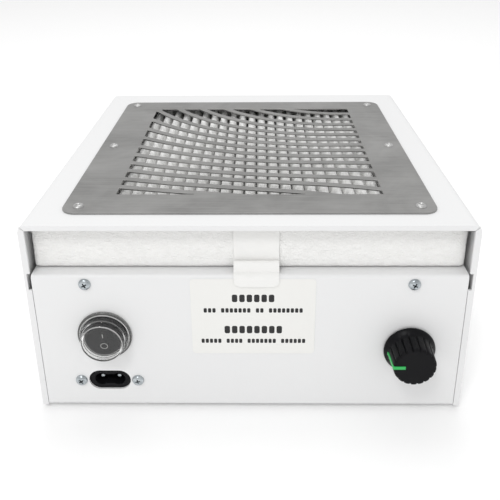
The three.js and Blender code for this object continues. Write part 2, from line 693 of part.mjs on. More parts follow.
function bootGeometry() {
  const { flange, flangeReach, rim, reach, wall, seat } = BOOT;
  const crown = reach - wall;
  return turnedOnPanel([
    [0, reach], [rim - 1.6, reach - 0.1], [rim - 0.5, reach - 0.6], [rim, reach - 1.6],
    [seat + wall, flangeReach + 0.5], [flange - 0.5, flangeReach], [flange, flangeReach - 0.5],
    [flange, 0], [seat, 0], [seat, flangeReach + 0.8], [rim - wall, reach - 1.9],
    [rim - wall - 1.2, crown - 0.1], [0, crown],
  ], SWITCH.x, SWITCH.z, 24);
}

addNode('switch_boot', bootGeometry(), CLEAR);

[-1, 1].forEach((side, i) => {
  const from = FRONT + SWITCH_BODY.depth;
  const z = SWITCH.z + side * BLADE.offset;
  const blade = bladeGeometry(SWITCH.x, z, from, from + BLADE.length, BLADE.width);
  addNode(`switch_terminal_${i + 1}`, blade, BRASS);
});

// ---------------------------------------------------------------- mains inlet
const SHROUD = { width: 21, height: 11.2, recess: 0.8, depth: 17 };
const SOCKET = { lobe: 3.6, floor: 13.5, waist: 0.8 };
const INLET_FLANGE = { width: 37, height: 15.5, thick: 2.4, corner: 3 };
const INLET_SCREW_LENGTH = 7.5;
const NUT = { radius: 3.1, height: 2.3, bore: 1.5 };
const PIN = { radius: 1.2, tip: 3, nose: 0.8, tail: 24, tailWidth: 2.2 };

function inletBodyGeometry() {
  const back = FRONT + SHEET + GAP;
  const face = FRONT + SHROUD.recess;
  const shroud = roundedShape(INLET.x, INLET.z, SHROUD.width, SHROUD.height,
    SHROUD.height / 2 - ALMOST);
  const plate = roundedShape(INLET.x, INLET.z, INLET_FLANGE.width, INLET_FLANGE.height,
    INLET_FLANGE.corner);
  const floor = FRONT + SOCKET.floor;
  const waist = SOCKET.lobe * SOCKET.waist;
  const cuts = [box(INLET.x - INLET.pitch / 2, INLET.x + INLET.pitch / 2, face - PAST, floor,
    INLET.z - waist, INLET.z + waist)];
  for (const side of [-1, 1]) {
    const pinX = INLET.x + side * INLET.pitch / 2;
    const screwX = INLET.x + side * INLET.screws / 2;
    cuts.push(rod('y', SOCKET.lobe, face - PAST, floor, pinX, INLET.z, 16));
    cuts.push(rod('y', PIN.radius + GAP / 2, floor - PAST, FRONT + SHROUD.depth + PAST,
      pinX, INLET.z, 10));
    cuts.push(rod('y', SCREW_HOLE, back - PAST, back + INLET_FLANGE.thick + PAST,
      screwX, INLET.z, 8));
  }
  return combine([
    alongY(shroud, face, FRONT + SHROUD.depth, 3),
    alongY(plate, back, back + INLET_FLANGE.thick, 1),
  ], cuts);
}

addNode('inlet_body', inletBodyGeometry(), BLACK_PLASTIC);

[-1, 1].forEach((side, i) => {
  const pinX = INLET.x + side * INLET.pitch / 2;
  const tip = FRONT + PIN.tip;
  const root = tip + PIN.nose;
  const rear = FRONT + SHROUD.depth + 1;
  const nose = rod('y', PIN.radius / 2, tip, root, pinX, INLET.z, 10, PIN.radius);
  const stem = rod('y', PIN.radius, root, rear, pinX, INLET.z, 10);
  const tail = bladeGeometry(pinX, INLET.z, rear - JOIN, FRONT + PIN.tail, PIN.tailWidth);
  addNode(`inlet_pin_${i + 1}`, combine([nose, stem, tail]), BRASS);
  const screwX = INLET.x + side * INLET.screws / 2;
  addNode(`inlet_screw_${i + 1}`, panScrew(screwX, INLET.z, FRONT, 1, INLET_SCREW_LENGTH), ZINC);
  const nutFrom = FRONT + SHEET + GAP + INLET_FLANGE.thick;
  const nutTo = nutFrom + NUT.height;
  const nut = combine([rod('y', NUT.radius, nutFrom, nutTo, screwX, INLET.z, 6)],
    [rod('y', NUT.bore, nutFrom - PAST, nutTo + PAST, screwX, INLET.z, 12)]);
  addNode(`inlet_nut_${i + 1}`, nut, ZINC);
});

// ---------------------------------------------------------------- speed knob
const KNOB_BASE = 0.9;             // gap between the panel and the skirt
const SKIRT_REACH = 4.6;
const POINTER = { width: 1.6, depth: 0.9, inner: 4.7, proud: 0.25, clear: 0.1 };
const POT = {
  body: 8.3, depth: 9, bushing: 3.5, bushingReach: 5.6, nut: 5.6, nutHeight: 2.2,
  shaft: 2.95, shaftReach: 12, shaftTail: 3, bore: 3.25,
};
const POT_TAGS = { width: 12, thick: 1, low: 13.5, high: 6 };

function flutedShape(radius, depth) {
  const points = [];
  const steps = 4;
  const total = KNOB.flutes * steps;
  for (let i = 0; i < total; i += 1) {
    const angle = (i / total) * Math.PI * 2;
    const wave = 0.5 + 0.5 * Math.cos((i / steps) * Math.PI * 2);
    const r = radius - depth * (1 - wave ** 0.6);
    points.push(new THREE.Vector2(r * Math.cos(angle), r * Math.sin(angle)));
  }
  return new THREE.Shape(points);
}

function knobGeometry() {
  const { skirt, face, height } = KNOB;
  const flare = turnedOnPanel([
    [0, KNOB_BASE], [skirt, KNOB_BASE], [skirt, KNOB_BASE + 1.6], [skirt - 0.5, KNOB_BASE + 2.2],
    [face + 0.4, SKIRT_REACH], [0, SKIRT_REACH],
  ], KNOB.x, KNOB.z, 36);
  const outline = flutedShape(face + GAP, KNOB.fluteDepth);
  const grip = alongY(outline, 0, height - SKIRT_REACH + JOIN);
  grip.translate(KNOB.x, FRONT - height, KNOB.z);
  const pocket = FRONT - POT.bushingReach - 2 * GAP;
  const cuts = [
    rod('y', POT.nut + 4 * GAP, pocket, FRONT + PAST, KNOB.x, KNOB.z, 24),
    rod('y', POT.shaft + POINTER.clear, FRONT - POT.shaftReach - GAP, pocket + PAST,
      KNOB.x, KNOB.z, 20),
  ];
  cuts.push(...pointerBoxes(POINTER.clear));
  return combine([flare, grip], cuts);
}

// Pointer insert at nine o'clock: a bar across the face, down the side and over the skirt.
function pointerBoxes(clearance) {
  const half = POINTER.width / 2 + clearance;
  const outFace = FRONT - KNOB.height - POINTER.proud - clearance;
  const x0 = KNOB.x - KNOB.face - GAP - POINTER.proud - clearance;
  const x1 = KNOB.x - POINTER.inner + clearance;
  const inset = POINTER.depth + clearance;
  const foot = FRONT - SKIRT_REACH;
  return [
    box(x0, x1, outFace, FRONT - KNOB.height + inset, KNOB.z - half, KNOB.z + half),
    box(x0, KNOB.x - KNOB.face + inset, outFace, foot, KNOB.z - half, KNOB.z + half),
  ];
}

addNode('knob', knobGeometry(), KNOB_BLACK);
addNode('knob_pointer', combine(pointerBoxes(0)), GREEN);
addNode('pot_shaft', rod('y', POT.shaft, FRONT - POT.shaftReach, FRONT + POT.shaftTail,
  KNOB.x, KNOB.z, 20), ALUMINIUM);

function potBodyGeometry() {
  const back = FRONT + SHEET + GAP;
  const bushing = rod('y', POT.bushing, FRONT - POT.bushingReach, back + 1, KNOB.x, KNOB.z, 20);
  const can = rod('y', POT.body, back, back + POT.depth, KNOB.x, KNOB.z, 28);
  const tags = box(KNOB.x - POT_TAGS.width / 2, KNOB.x + POT_TAGS.width / 2,
    back + 1, back + 1 + POT_TAGS.thick, KNOB.z - POT_TAGS.low, KNOB.z - POT_TAGS.high);
  const bore = rod('y', POT.bore, FRONT - POT.bushingReach - PAST, FRONT + POT.shaftTail + JOIN,
    KNOB.x, KNOB.z, 20);
  return combine([bushing, can, tags], [bore]);
}

addNode('pot_body', potBodyGeometry(), ALUMINIUM);
addNode('pot_nut', combine(
  [rod('y', POT.nut, FRONT - POT.nutHeight, FRONT, KNOB.x, KNOB.z, 6)],
  [rod('y', POT.bushing + 0.1, FRONT - POT.nutHeight - PAST, FRONT + PAST,
    KNOB.x, KNOB.z, 20)]), ZINC);

// ---------------------------------------------------------------- label
addNode('label', alongY(
  roundedShape(LABEL.x, LABEL.z, LABEL.width, LABEL.height, LABEL.corner),
  FRONT - LABEL.thick, FRONT, 4), PAPER);

// ---------------------------------------------------------------- fan
const ROTOR = { hub: 22, low: 13, high: 36.5, tip: 55.6 };
const VANE = { chord: 34, thick: 1.6, pitch: 38, edge: -1.2, camber: 3.2, root: 3 };
const STATOR = { height: 11, strut: 6, strutHeight: 4, corner: 4 };

function fanHousingGeometry() {
  const outline = roundedShape(0, FAN.y, FAN.size, FAN.size, STATOR.corner);
  const block = alongZ(outline, FAN_LOW, FAN_TOP, 1);
  const cuts = [rod('z', FAN.bore, FAN_LOW - PAST, FAN_TOP + PAST, 0, FAN.y, 40)];
  for (const [x, y] of fanHolePlaces()) {
    cuts.push(rod('z', FAN.hole, FAN_LOW - PAST, FAN_TOP + PAST, x, y, 8));
  }
  const pieces = [
    combine([block], cuts),
    rod('z', FAN.hub, FAN_LOW, FAN_LOW + STATOR.height, 0, FAN.y, 28),
  ];
  for (const angle of [Math.PI / 4, -Math.PI / 4]) {
    const reach = 2 * (FAN.bore + PAST);
    const strut = new THREE.BoxGeometry(reach, STATOR.strut, STATOR.strutHeight);
    strut.rotateZ(angle).translate(0, FAN.y, FAN_LOW + STATOR.strutHeight / 2);
    pieces.push(strut);
  }
  return combine(pieces);
}

function rotorGeometry() {
  const hub = rod('z', ROTOR.hub, ROTOR.low, ROTOR.high, 0, 0, 24);
  const pieces = [hub];
  const span = ROTOR.tip - ROTOR.hub + VANE.root;
  const half = VANE.chord / 2;
  for (let i = 0; i < FAN.blades; i += 1) {
    const outline = new THREE.Shape();
    outline.moveTo(-half, VANE.edge);
    outline.quadraticCurveTo(0, VANE.camber, half, VANE.edge);
    outline.lineTo(half, VANE.edge + VANE.thick);
    outline.quadraticCurveTo(0, VANE.camber + VANE.thick, -half, VANE.edge + VANE.thick);
    const blade = alongX(outline, 0, span, 3);
    blade.rotateX(THREE.MathUtils.degToRad(VANE.pitch));
    blade.translate(ROTOR.hub - VANE.root, 0, (ROTOR.low + ROTOR.high) / 2);
    blade.rotateZ((i / FAN.blades) * Math.PI * 2);
    pieces.push(blade);
  }
  const joined = toSolid(combine(pieces));
  const envelope = rod('z', ROTOR.tip, ROTOR.low, ROTOR.high, 0, 0, 36);
  return toGeometry(joined.intersect(toSolid(envelope)));
}

addNode('fan_housing', fanHousingGeometry(), BLACK_PLASTIC);
addNode('fan_rotor', rotorGeometry(), BLACK_PLASTIC).position.set(0, FAN.y, FAN_LOW);

const FAN_SCREW = { head: 2.6, crown: 1.9, height: 1.2, shank: 1.9, length: 14 };

fanHolePlaces().forEach(([x, y], i) => {
  const { head: radius, crown, height, length } = FAN_SCREW;
  const head = rod('z', radius, SHELF_TOP, SHELF_TOP + height, x, y, 12, crown);
  const shank = rod('z', FAN_SCREW.shank, SHELF_TOP - length, SHELF_TOP + JOIN, x, y, 8);
  addNode(`fan_screw_${i + 1}`, combine([head, shank]), ZINC);
});

// ---------------------------------------------------------------- control electronics
const BOARD = { x0: 18, x1: 78, y0: -95, y1: -53, z: 8, thick: 1.6 };
const STANDOFF = { radius: 2.6, inset: 4 };

// Parts on the board, each from its near left corner, counted from the board's own corner.
const CAPACITOR = { x: 14, y: 12, radius: 5, height: 14 };
const BLOCKS = [
  { part: 'film capacitor', x: 25, y: 8, width: 18, depth: 6, height: 9 },
  { part: 'choke', x: 8, y: 28, width: 14, depth: 9, height: 8 },
  { part: 'terminal block', x: 26, y: 30, width: 20, depth: 8, height: 10 },
];

function boardGeometry() {
  const plate = box(BOARD.x0, BOARD.x1, BOARD.y0, BOARD.y1, BOARD.z, BOARD.z + BOARD.thick);
  const low = BOARD.z + BOARD.thick - JOIN;
  const can = rod('z', CAPACITOR.radius, low, low + CAPACITOR.height,
    BOARD.x0 + CAPACITOR.x, BOARD.y0 + CAPACITOR.y, 20);
  const blocks = BLOCKS.map(({ x, y, width, depth, height }) => box(
    BOARD.x0 + x, BOARD.x0 + x + width, BOARD.y0 + y, BOARD.y0 + y + depth, low, low + height));
  return combine([plate, can, ...blocks]);
}

addNode('control_board', boardGeometry(), BOARD_GREEN);

let standoff = 0;
for (const x of [BOARD.x0 + STANDOFF.inset, BOARD.x1 - STANDOFF.inset]) {
  for (const y of [BOARD.y0 + STANDOFF.inset, BOARD.y1 - STANDOFF.inset]) {
    standoff += 1;
    addNode(`board_standoff_${standoff}`, rod('z', STANDOFF.radius, SHEET, BOARD.z, x, y, 6),
      BRASS);
  }
}

const HEATSINK = { x: 56, y: 10, base: 2, height: 20, fins: 5, pitch: 5, fin: 1.6, reach: 6 };

function heatsinkGeometry() {
  const x0 = BOARD.x0 + HEATSINK.x;
  const y0 = BOARD.y0 + HEATSINK.y;
  const y1 = y0 + (HEATSINK.fins - 1) * HEATSINK.pitch + HEATSINK.fin;
  const low = BOARD.z + BOARD.thick;
  const high = low + HEATSINK.height;
  const pieces = [box(x0, x0 + HEATSINK.base, y0, y1, low, high)];
  for (let i = 0; i < HEATSINK.fins; i += 1) {
    const y = y0 + i * HEATSINK.pitch;
    pieces.push(box(x0 - HEATSINK.reach, x0 + JOIN, y, y + HEATSINK.fin, low, high));
  }
  return combine(pieces);
}

addNode('board_heatsink', heatsinkGeometry(), ALUMINIUM);

// ---------------------------------------------------------------- inner leads
function leadGeometry(points, radius) {
  const curve = new THREE.CatmullRomCurve3(points.map((p) => new THREE.Vector3(...p)));
  const section = new THREE.Shape();
  section.absarc(0, 0, radius, 0, Math.PI * 2, false);
  const options = { steps: 13, bevelEnabled: false, extrudePath: curve, curveSegments: 3 };
  return facingOut(new THREE.ExtrudeGeometry(section, options));
}

const LEAD_RADIUS = 1.5;
addNode('lead_inlet', leadGeometry([
  [INLET.x, FRONT + PIN.tail + 2, INLET.z], [INLET.x, FRONT + 32, INLET.z + 6],
  [INLET.x, FRONT + 34, SWITCH.z - 10], [SWITCH.x, FRONT + 26.5, SWITCH.z - 4],
], LEAD_RADIUS), BLACK_PLASTIC);
addNode('lead_switch', leadGeometry([
  [SWITCH.x, FRONT + 26.5, SWITCH.z + 4], [SWITCH.x + 8, FRONT + 34, SWITCH.z + 1],
  [SWITCH.x + 20, FRONT + 30, 12], [-30, FRONT + 26, 5], [0, FRONT + 26, 8],
  [BOARD.x0 - 2.5, FRONT + 26, BOARD.z + 4.5],
], LEAD_RADIUS), BLACK_PLASTIC);
addNode('lead_fan', leadGeometry([
  [BOARD.x0 + 20, BOARD.y1 + 2.5, BOARD.z + 3], [BOARD.x0 + 18, BOARD.y1 + 14, 8],
  [34, -22, 20], [30, FAN.y - 6, FAN_LOW - 5], [FAN.hub - 5, FAN.y, FAN_LOW - 2],
], LEAD_RADIUS), BLACK_PLASTIC);

// ---------------------------------------------------------------- origin
const foremost = FRONT - KNOB.height - POINTER.proud;
const rearmost = REAR + SCREW_HEAD.height;
assembly.position.set(0, -(foremost + rearmost) / 2, FOOT.height);

const group = new THREE.Group();
group.add(assembly);
export default group;
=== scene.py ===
"""Looks of a nail dust collector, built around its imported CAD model.

Everything is in metres in the frame of the CAD model: +Z up, the control panel towards -Y, and
the floor at z = 0. Sizes are written in millimetres, as 3 * MM.
"""

import json
import math

import bmesh
import bpy
from mathutils import Matrix, Vector, noise


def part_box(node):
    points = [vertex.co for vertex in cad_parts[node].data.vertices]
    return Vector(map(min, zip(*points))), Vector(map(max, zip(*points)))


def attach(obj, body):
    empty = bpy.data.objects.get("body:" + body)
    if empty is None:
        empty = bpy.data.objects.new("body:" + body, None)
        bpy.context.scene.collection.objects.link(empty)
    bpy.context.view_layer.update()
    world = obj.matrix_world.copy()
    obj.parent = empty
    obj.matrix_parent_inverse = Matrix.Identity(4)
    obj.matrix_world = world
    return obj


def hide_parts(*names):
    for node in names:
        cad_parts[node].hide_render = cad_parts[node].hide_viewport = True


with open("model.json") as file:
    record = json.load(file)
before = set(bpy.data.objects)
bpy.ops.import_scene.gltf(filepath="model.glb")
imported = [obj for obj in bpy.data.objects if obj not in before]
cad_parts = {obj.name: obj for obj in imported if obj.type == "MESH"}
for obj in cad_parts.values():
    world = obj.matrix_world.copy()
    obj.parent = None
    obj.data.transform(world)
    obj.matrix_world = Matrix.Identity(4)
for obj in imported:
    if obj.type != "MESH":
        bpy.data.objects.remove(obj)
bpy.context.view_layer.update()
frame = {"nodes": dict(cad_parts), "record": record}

MM = 0.001
NODES = frame["nodes"]
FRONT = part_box("chassis")[0].y            # outer face of the front panel
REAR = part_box("chassis")[1].y             # outer face of the rear wall
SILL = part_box("filter_frame")[0].z        # underside of the filter, just over the shelf
PLATE_DROP = 0.3 * MM                     # how far the thin visible grille lies below the CAD's
PLATE_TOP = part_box("grille_plate")[1].z - PLATE_DROP
OUTWARD = Vector((0, -1, 0))              # out of the control panel
UP = Vector((0, 0, 1))


def middle(node):
    """Middle of a CAD node's box."""
    low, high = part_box(node)
    return (low + high) / 2


def on_panel(node):
    """The point of the front panel's face behind the middle of a node."""
    centre = middle(node)
    return Vector((centre.x, FRONT, centre.z))


# ---------------------------------------------------------------- material building
def link(tree, source, target):
    tree.links.new(source, target)


def object_coordinates(tree, stretch=(1, 1, 1)):
    """Object coordinates in metres, multiplied along each axis by stretch."""
    coordinates = tree.nodes.new("ShaderNodeTexCoord")
    mapping = tree.nodes.new("ShaderNodeMapping")
    mapping.inputs["Scale"].default_value = stretch
    link(tree, coordinates.outputs["Object"], mapping.inputs["Vector"])
    return mapping.outputs["Vector"]


def cloud(tree, size, stretch=(1, 1, 1), detail=3.0, rough=0.55, twist=0.0):
    """A noise of 0 to 1 whose patches are about size metres across."""
    texture = tree.nodes.new("ShaderNodeTexNoise")
    texture.inputs["Scale"].default_value = 1 / size
    texture.inputs["Detail"].default_value = detail
    texture.inputs["Roughness"].default_value = rough
    texture.inputs["Distortion"].default_value = twist
    link(tree, object_coordinates(tree, stretch), texture.inputs["Vector"])
    return texture.outputs["Fac"]


def spread(tree, value, low, high, start=0.3, end=0.7):
    """Maps start..end of a value to low..high."""
    ranged = tree.nodes.new("ShaderNodeMapRange")
    ranged.inputs["From Min"].default_value = start
    ranged.inputs["From Max"].default_value = end
    ranged.inputs["To Min"].default_value = low
    ranged.inputs["To Max"].default_value = high
    link(tree, value, ranged.inputs["Value"])
    return ranged.outputs["Result"]


def arithmetic(tree, operation, first, second):
    """A Math node. The second input is a socket or a number."""
    node = tree.nodes.new("ShaderNodeMath")
    node.operation = operation
    link(tree, first, node.inputs[0])
    if isinstance(second, (int, float)):
        node.inputs[1].default_value = second
    else:
        link(tree, second, node.inputs[1])
    return node.outputs["Value"]


def tint(tree, factor, first, second):
    """The colour between two colours that a factor of 0 to 1 picks."""
    mix = tree.nodes.new("ShaderNodeMix")
    mix.data_type = "RGBA"
    link(tree, factor, mix.inputs["Factor"])
    for socket, colour in ((mix.inputs["A"], first), (mix.inputs["B"], second)):
        if isinstance(colour, (tuple, list)):
            socket.default_value = (*colour, 1)
        else:
            link(tree, colour, socket)
    return mix.outputs["Result"]


def bump(tree, shader, *layers):
    """Stacks height layers of (value, depth in metres) into the shader's normal."""
    below = None
    for value, depth in layers:
        node = tree.nodes.new("ShaderNodeBump")
        node.inputs["Strength"].default_value = 1.0
        node.inputs["Distance"].default_value = depth
        link(tree, value, node.inputs["Height"])
        if below is not None:
            link(tree, below, node.inputs["Normal"])
        below = node.outputs["Normal"]
    link(tree, below, shader.inputs["Normal"])


def new_material(name, **sockets):
    """A Principled material whose named sockets get plain numbers or colours."""
    material = bpy.data.materials.new(name)
    material.use_nodes = True
    tree = material.node_tree
    shader = tree.nodes["Principled BSDF"]
    for socket, value in sockets.items():
        title = socket.replace("_", " ").title().replace("Ior", "IOR")
        shader.inputs[title].default_value = value
    return material, tree, shader


def moulded(name, light, dark, rough, grain, depth, patch=0.02, stretch=(1, 1, 1), **sockets):
    """A material whose tone wanders between two colours in soft patches, with a fine grain.

    rough is the lowest and highest roughness, grain the size of the grain and depth its height.
    """
    material, tree, shader = new_material(name, **sockets)
    patches = cloud(tree, patch, stretch)
    link(tree, tint(tree, patches, dark, light), shader.inputs["Base Color"])
    grains = cloud(tree, grain, stretch, detail=2.0)
    link(tree, spread(tree, grains, *rough), shader.inputs["Roughness"])
    bump(tree, shader, (grains, depth))
    return material


def powder_coat():
    """Fine satin powder coat: a slight orange peel with a finer texture on it."""
    material, tree, shader = new_material("powder_coat", coat_weight=0.08, coat_roughness=0.25)
    patches = cloud(tree, 70 * MM, detail=2.0)
    link(tree, tint(tree, patches, (0.765, 0.767, 0.77), (0.785, 0.786, 0.786)),
         shader.inputs["Base Color"])
    peel = cloud(tree, 1.6 * MM, detail=2.0)
    grain = cloud(tree, 0.35 * MM, detail=1.0)
    link(tree, spread(tree, grain, 0.36, 0.5), shader.inputs["Roughness"])
    bump(tree, shader, (peel, 0.03 * MM), (grain, 0.008 * MM))
    return material


def stainless():
    """Matt rolled stainless sheet: faint clouds, a fine grain along X and a few soft smears."""
    material, tree, shader = new_material("stainless", metallic=1.0)
    clouds = cloud(tree, 38 * MM, detail=4.0, rough=0.6, twist=0.6)
    rolled = cloud(tree, 1.2 * MM, stretch=(0.06, 1, 1), detail=3.0)
    smears = cloud(tree, 16 * MM, stretch=(0.5, 1, 1), detail=5.0, rough=0.7, twist=1.4)
    tone = tint(tree, spread(tree, clouds, 0, 1), (0.235, 0.233, 0.228), (0.36, 0.357, 0.35))
    lit = tint(tree, spread(tree, rolled, 0, 0.35), tone, (0.42, 0.418, 0.412))
    link(tree, lit, shader.inputs["Base Color"])
    link(tree, spread(tree, smears, 0.36, 0.5), shader.inputs["Roughness"])
    bump(tree, shader, (rolled, 0.012 * MM), (clouds, 0.05 * MM))
    return material


def metal(name, light, dark, rough):
    """A small bright metal part: slight tarnish, fine scratches and a soft sheen."""
    material, tree, shader = new_material(name, metallic=1.0)
    tarnish = cloud(tree, 2.5 * MM, detail=4.0, rough=0.65)
    link(tree, tint(tree, spread(tree, tarnish, 0, 1), dark, light), shader.inputs["Base Color"])
    scratches = cloud(tree, 0.25 * MM, detail=3.0)
    link(tree, spread(tree, scratches, *rough), shader.inputs["Roughness"])
    bump(tree, shader, (scratches, 0.006 * MM))
    return material


def felt(name, bright, shade):
    """Needled filter felt: lumpy patches, and fibres that cross in two directions."""
    material, tree, shader = new_material(name, roughness=0.95, sheen_weight=0.25,
                                          sheen_roughness=0.6)
    lumps = cloud(tree, 2.6 * MM, stretch=(0.6, 0.6, 1), detail=3.0, rough=0.6, twist=0.5)
    tufts = cloud(tree, 0.8 * MM, stretch=(0.7, 0.7, 1), detail=3.0, rough=0.7, twist=1.5)
    threads = arithmetic(tree, "MAXIMUM",
                         cloud(tree, 0.5 * MM, stretch=(0.2, 1, 1), detail=2.0, twist=1.0),
                         cloud(tree, 0.5 * MM, stretch=(1, 1, 0.25), detail=2.0, twist=1.0))
    # Darker where the lumps and tufts dip: the felt's uneven tone, with painted shade in the
    # hollows of the bump
    mottle = arithmetic(tree, "MULTIPLY",
                        spread(tree, lumps, 0.55, 1), spread(tree, tufts, 0.4, 1))
    link(tree, tint(tree, mottle, shade, bright), shader.inputs["Base Color"])
    bump(tree, shader, (lumps, 0.9 * MM), (tufts, 0.35 * MM), (threads, 0.1 * MM))
    return material


def filter_paper():
    """Pleated filter paper: a soft fibre texture with slightly greyer patches."""
    material, tree, shader = new_material("filter_paper", sheen_weight=0.1)
    patches = cloud(tree, 6 * MM, detail=3.0)
    fibres = cloud(tree, 0.5 * MM, stretch=(1, 0.25, 1), detail=3.0, twist=1.0)
    tone = tint(tree, patches, (0.93, 0.928, 0.915), (0.965, 0.963, 0.955))
    link(tree, tone, shader.inputs["Base Color"])
    link(tree, spread(tree, fibres, 0.8, 1.0), shader.inputs["Roughness"])
    bump(tree, shader, (fibres, 0.06 * MM), (patches, 0.1 * MM))
    return material


def vinyl(name, tone, haze, rough, **sockets):
    """Clear soft vinyl with a cloudy film and a slightly rippled skin."""
    material, tree, shader = new_material(name, transmission_weight=haze, ior=1.38, **sockets)
    film = cloud(tree, 4 * MM, detail=3.0, rough=0.6)
    link(tree, tint(tree, film, tone, tuple(min(1.0, c * 1.04) for c in tone)),
         shader.inputs["Base Color"])
    link(tree, spread(tree, film, *rough), shader.inputs["Roughness"])
    bump(tree, shader, (film, 0.004 * MM))
    return material


LOOKS = {
    "white_paint": powder_coat(),
    "stainless": stainless(),
    "aluminium": metal("satin_aluminium", (0.6, 0.6, 0.595), (0.4, 0.4, 0.395), (0.36, 0.5)),
    "zinc": metal("bright_zinc", (0.56, 0.6, 0.62), (0.3, 0.33, 0.35), (0.2, 0.36)),
    "brass": metal("brass", (0.83, 0.66, 0.36), (0.62, 0.47, 0.22), (0.2, 0.36)),
    "filter_felt": felt("filter_felt", (0.955, 0.952, 0.94), (0.83, 0.825, 0.805)),
    "pleat_paper": filter_paper(),
    "black_plastic": moulded("black_plastic", (0.009, 0.009, 0.0105), (0.006, 0.006, 0.007),
                             (0.34, 0.5), 0.3 * MM, 0.012 * MM, specular_ior_level=0.1),
    "knob_plastic": moulded("knob_plastic", (0.006, 0.006, 0.007), (0.003, 0.003, 0.004),
                            (0.3, 0.44), 0.25 * MM, 0.01 * MM, specular_ior_level=0.11),
    "green_plastic": moulded("green_plastic", (0.022, 0.47, 0.1), (0.015, 0.37, 0.075),
                             (0.3, 0.42), 0.3 * MM, 0.008 * MM),
    "rubber": moulded("rubber", (0.03, 0.03, 0.03), (0.018, 0.018, 0.018),
                      (0.75, 0.95), 0.4 * MM, 0.03 * MM),
    "foam": moulded("foam", (0.06, 0.06, 0.063), (0.03, 0.03, 0.032),
                    (0.9, 1.0), 0.8 * MM, 0.25 * MM),
    "label_film": moulded("label_film", (0.815, 0.812, 0.79), (0.8, 0.797, 0.773),
                          (0.32, 0.45), 0.5 * MM, 0.006 * MM, patch=0.03),
    "board": moulded("solder_mask", (0.03, 0.2, 0.08), (0.02, 0.15, 0.06),
                     (0.25, 0.45), 0.6 * MM, 0.02 * MM, patch=0.004),
    "clear_plastic": vinyl("clear_vinyl", (0.96, 0.96, 0.955), 1.0, (0.0, 0.025)),
}
TAB_CLOTH = moulded("tab_cloth", (0.85, 0.847, 0.832), (0.81, 0.807, 0.79), (0.75, 0.95),
                    0.35 * MM, 0.03 * MM, patch=0.006, sheen_weight=0.1)
INK = moulded("printed_ink", (0.009, 0.009, 0.01), (0.005, 0.005, 0.006), (0.4, 0.6),
              0.2 * MM, 0.004 * MM, patch=0.002)
MARK = moulded("white_mark", (0.75, 0.75, 0.73), (0.6, 0.6, 0.58), (0.45, 0.6),
               0.15 * MM, 0.006 * MM, patch=0.001)
HAZE = vinyl("hazy_vinyl", (0.3, 0.3, 0.295), 0.8, (0.08, 0.2))
# Paler, less clear vinyl for the cap's rims: a painted highlight along them
RIM_HIGHLIGHT = vinyl("rim_highlight_vinyl", (0.75, 0.75, 0.74), 0.5, (0.12, 0.25))
# Near-black material for the cross recess of the screw heads: painted shade
RECESS = moulded("recess_shade", (0.05, 0.055, 0.06), (0.025, 0.03, 0.035), (0.5, 0.7),
                 0.3 * MM, 0.01 * MM, patch=0.001, metallic=0.6)


# ---------------------------------------------------------------- mesh building
SHARP = 32      # degrees between two faces above which their edge is drawn or rounded


def add_piece(name, mesh, look, body, replaces=()):
    """Puts a mesh in the scene as a piece that rides on a CAD body."""
    piece = bpy.data.objects.new(name, mesh)
    bpy.context.scene.collection.objects.link(piece)
    for one in look if isinstance(look, (list, tuple)) else [look]:
        mesh.materials.append(one)
    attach(piece, body)
    if replaces:
        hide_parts(*replaces)
    return piece


def mesh_from(name, form, sharp=SHARP):
    """Ends a bmesh as a mesh that is smooth up to an angle in degrees."""
    bmesh.ops.recalc_face_normals(form, faces=form.faces)
    mesh = bpy.data.meshes.new(name)
    form.to_mesh(mesh)
    form.free()
    mesh.polygons.foreach_set("use_smooth", [True] * len(mesh.polygons))
    mesh.set_sharp_from_angle(angle=math.radians(sharp))
    return mesh


def soften(piece, width):
    """Rounds a piece's sharp edges and evens its shading."""
    edge = piece.modifiers.new("rounded_edges", "BEVEL")
    edge.width = width
    edge.segments = 2
    edge.limit_method = "ANGLE"
    edge.angle_limit = math.radians(SHARP)
    edge.harden_normals = True
    even = piece.modifiers.new("even_shading", "WEIGHTED_NORMAL")
    even.keep_sharp = True


def turn_basis(axis):
    """Matrix whose third column is the axis."""
    return axis.to_track_quat("Z", "Y").to_matrix()


def turned(profile, centre, axis, segments=64):
    """A solid of revolution. The profile is (radius, reach) in mm along the axis."""
    form = bmesh.new()
    basis = turn_basis(axis)
    rings = []
    for radius, reach in profile:
        count = 1 if radius == 0 else segments
        ring = []
        for i in range(count):
            angle = 2 * math.pi * i / segments
            spoke = Vector((radius * math.cos(angle), radius * math.sin(angle), reach))
            ring.append(form.verts.new(centre + basis @ (spoke * MM)))
        rings.append(ring)
    for lower, upper in zip(rings, rings[1:]):
        join_rings(form, lower, upper, segments)
    return form


def join_rings(form, lower, upper, segments):
    """Faces between two rings, where a ring of one vertex is a pole."""
    for i in range(segments):
        j = (i + 1) % segments
        corners = [lower[i % len(lower)], lower[j % len(lower)],
                   upper[j % len(upper)], upper[i % len(upper)]]
        unique = list(dict.fromkeys(corners))
        if len(unique) > 2:
            form.faces.new(unique)


def curve_sheet(name, outlines, low, high, edge):
    """A flat sheet between two heights, from closed outlines of (x, y), with rounded edges."""
    curve = bpy.data.curves.new(name, "CURVE")
    curve.dimensions = "2D"
    curve.fill_mode = "BOTH"
    curve.extrude = (high - low) / 2 - edge
    curve.bevel_depth = edge
    curve.bevel_resolution = 1
    curve.offset = -edge
    for outline in outlines:
        spline = curve.splines.new("POLY")
        spline.points.add(len(outline) - 1)
        for point, (x, y) in zip(spline.points, outline):
            point.co = (x, y, 0, 1)
        spline.use_cyclic_u = True
    holder = bpy.data.objects.new(name, curve)
    bpy.context.scene.collection.objects.link(holder)
    graph = bpy.context.evaluated_depsgraph_get()
    mesh = bpy.data.meshes.new_from_object(holder.evaluated_get(graph))
    bpy.data.objects.remove(holder)
    mesh.transform(Matrix.Translation((0, 0, (low + high) / 2)))
    mesh.name = name
    return mesh


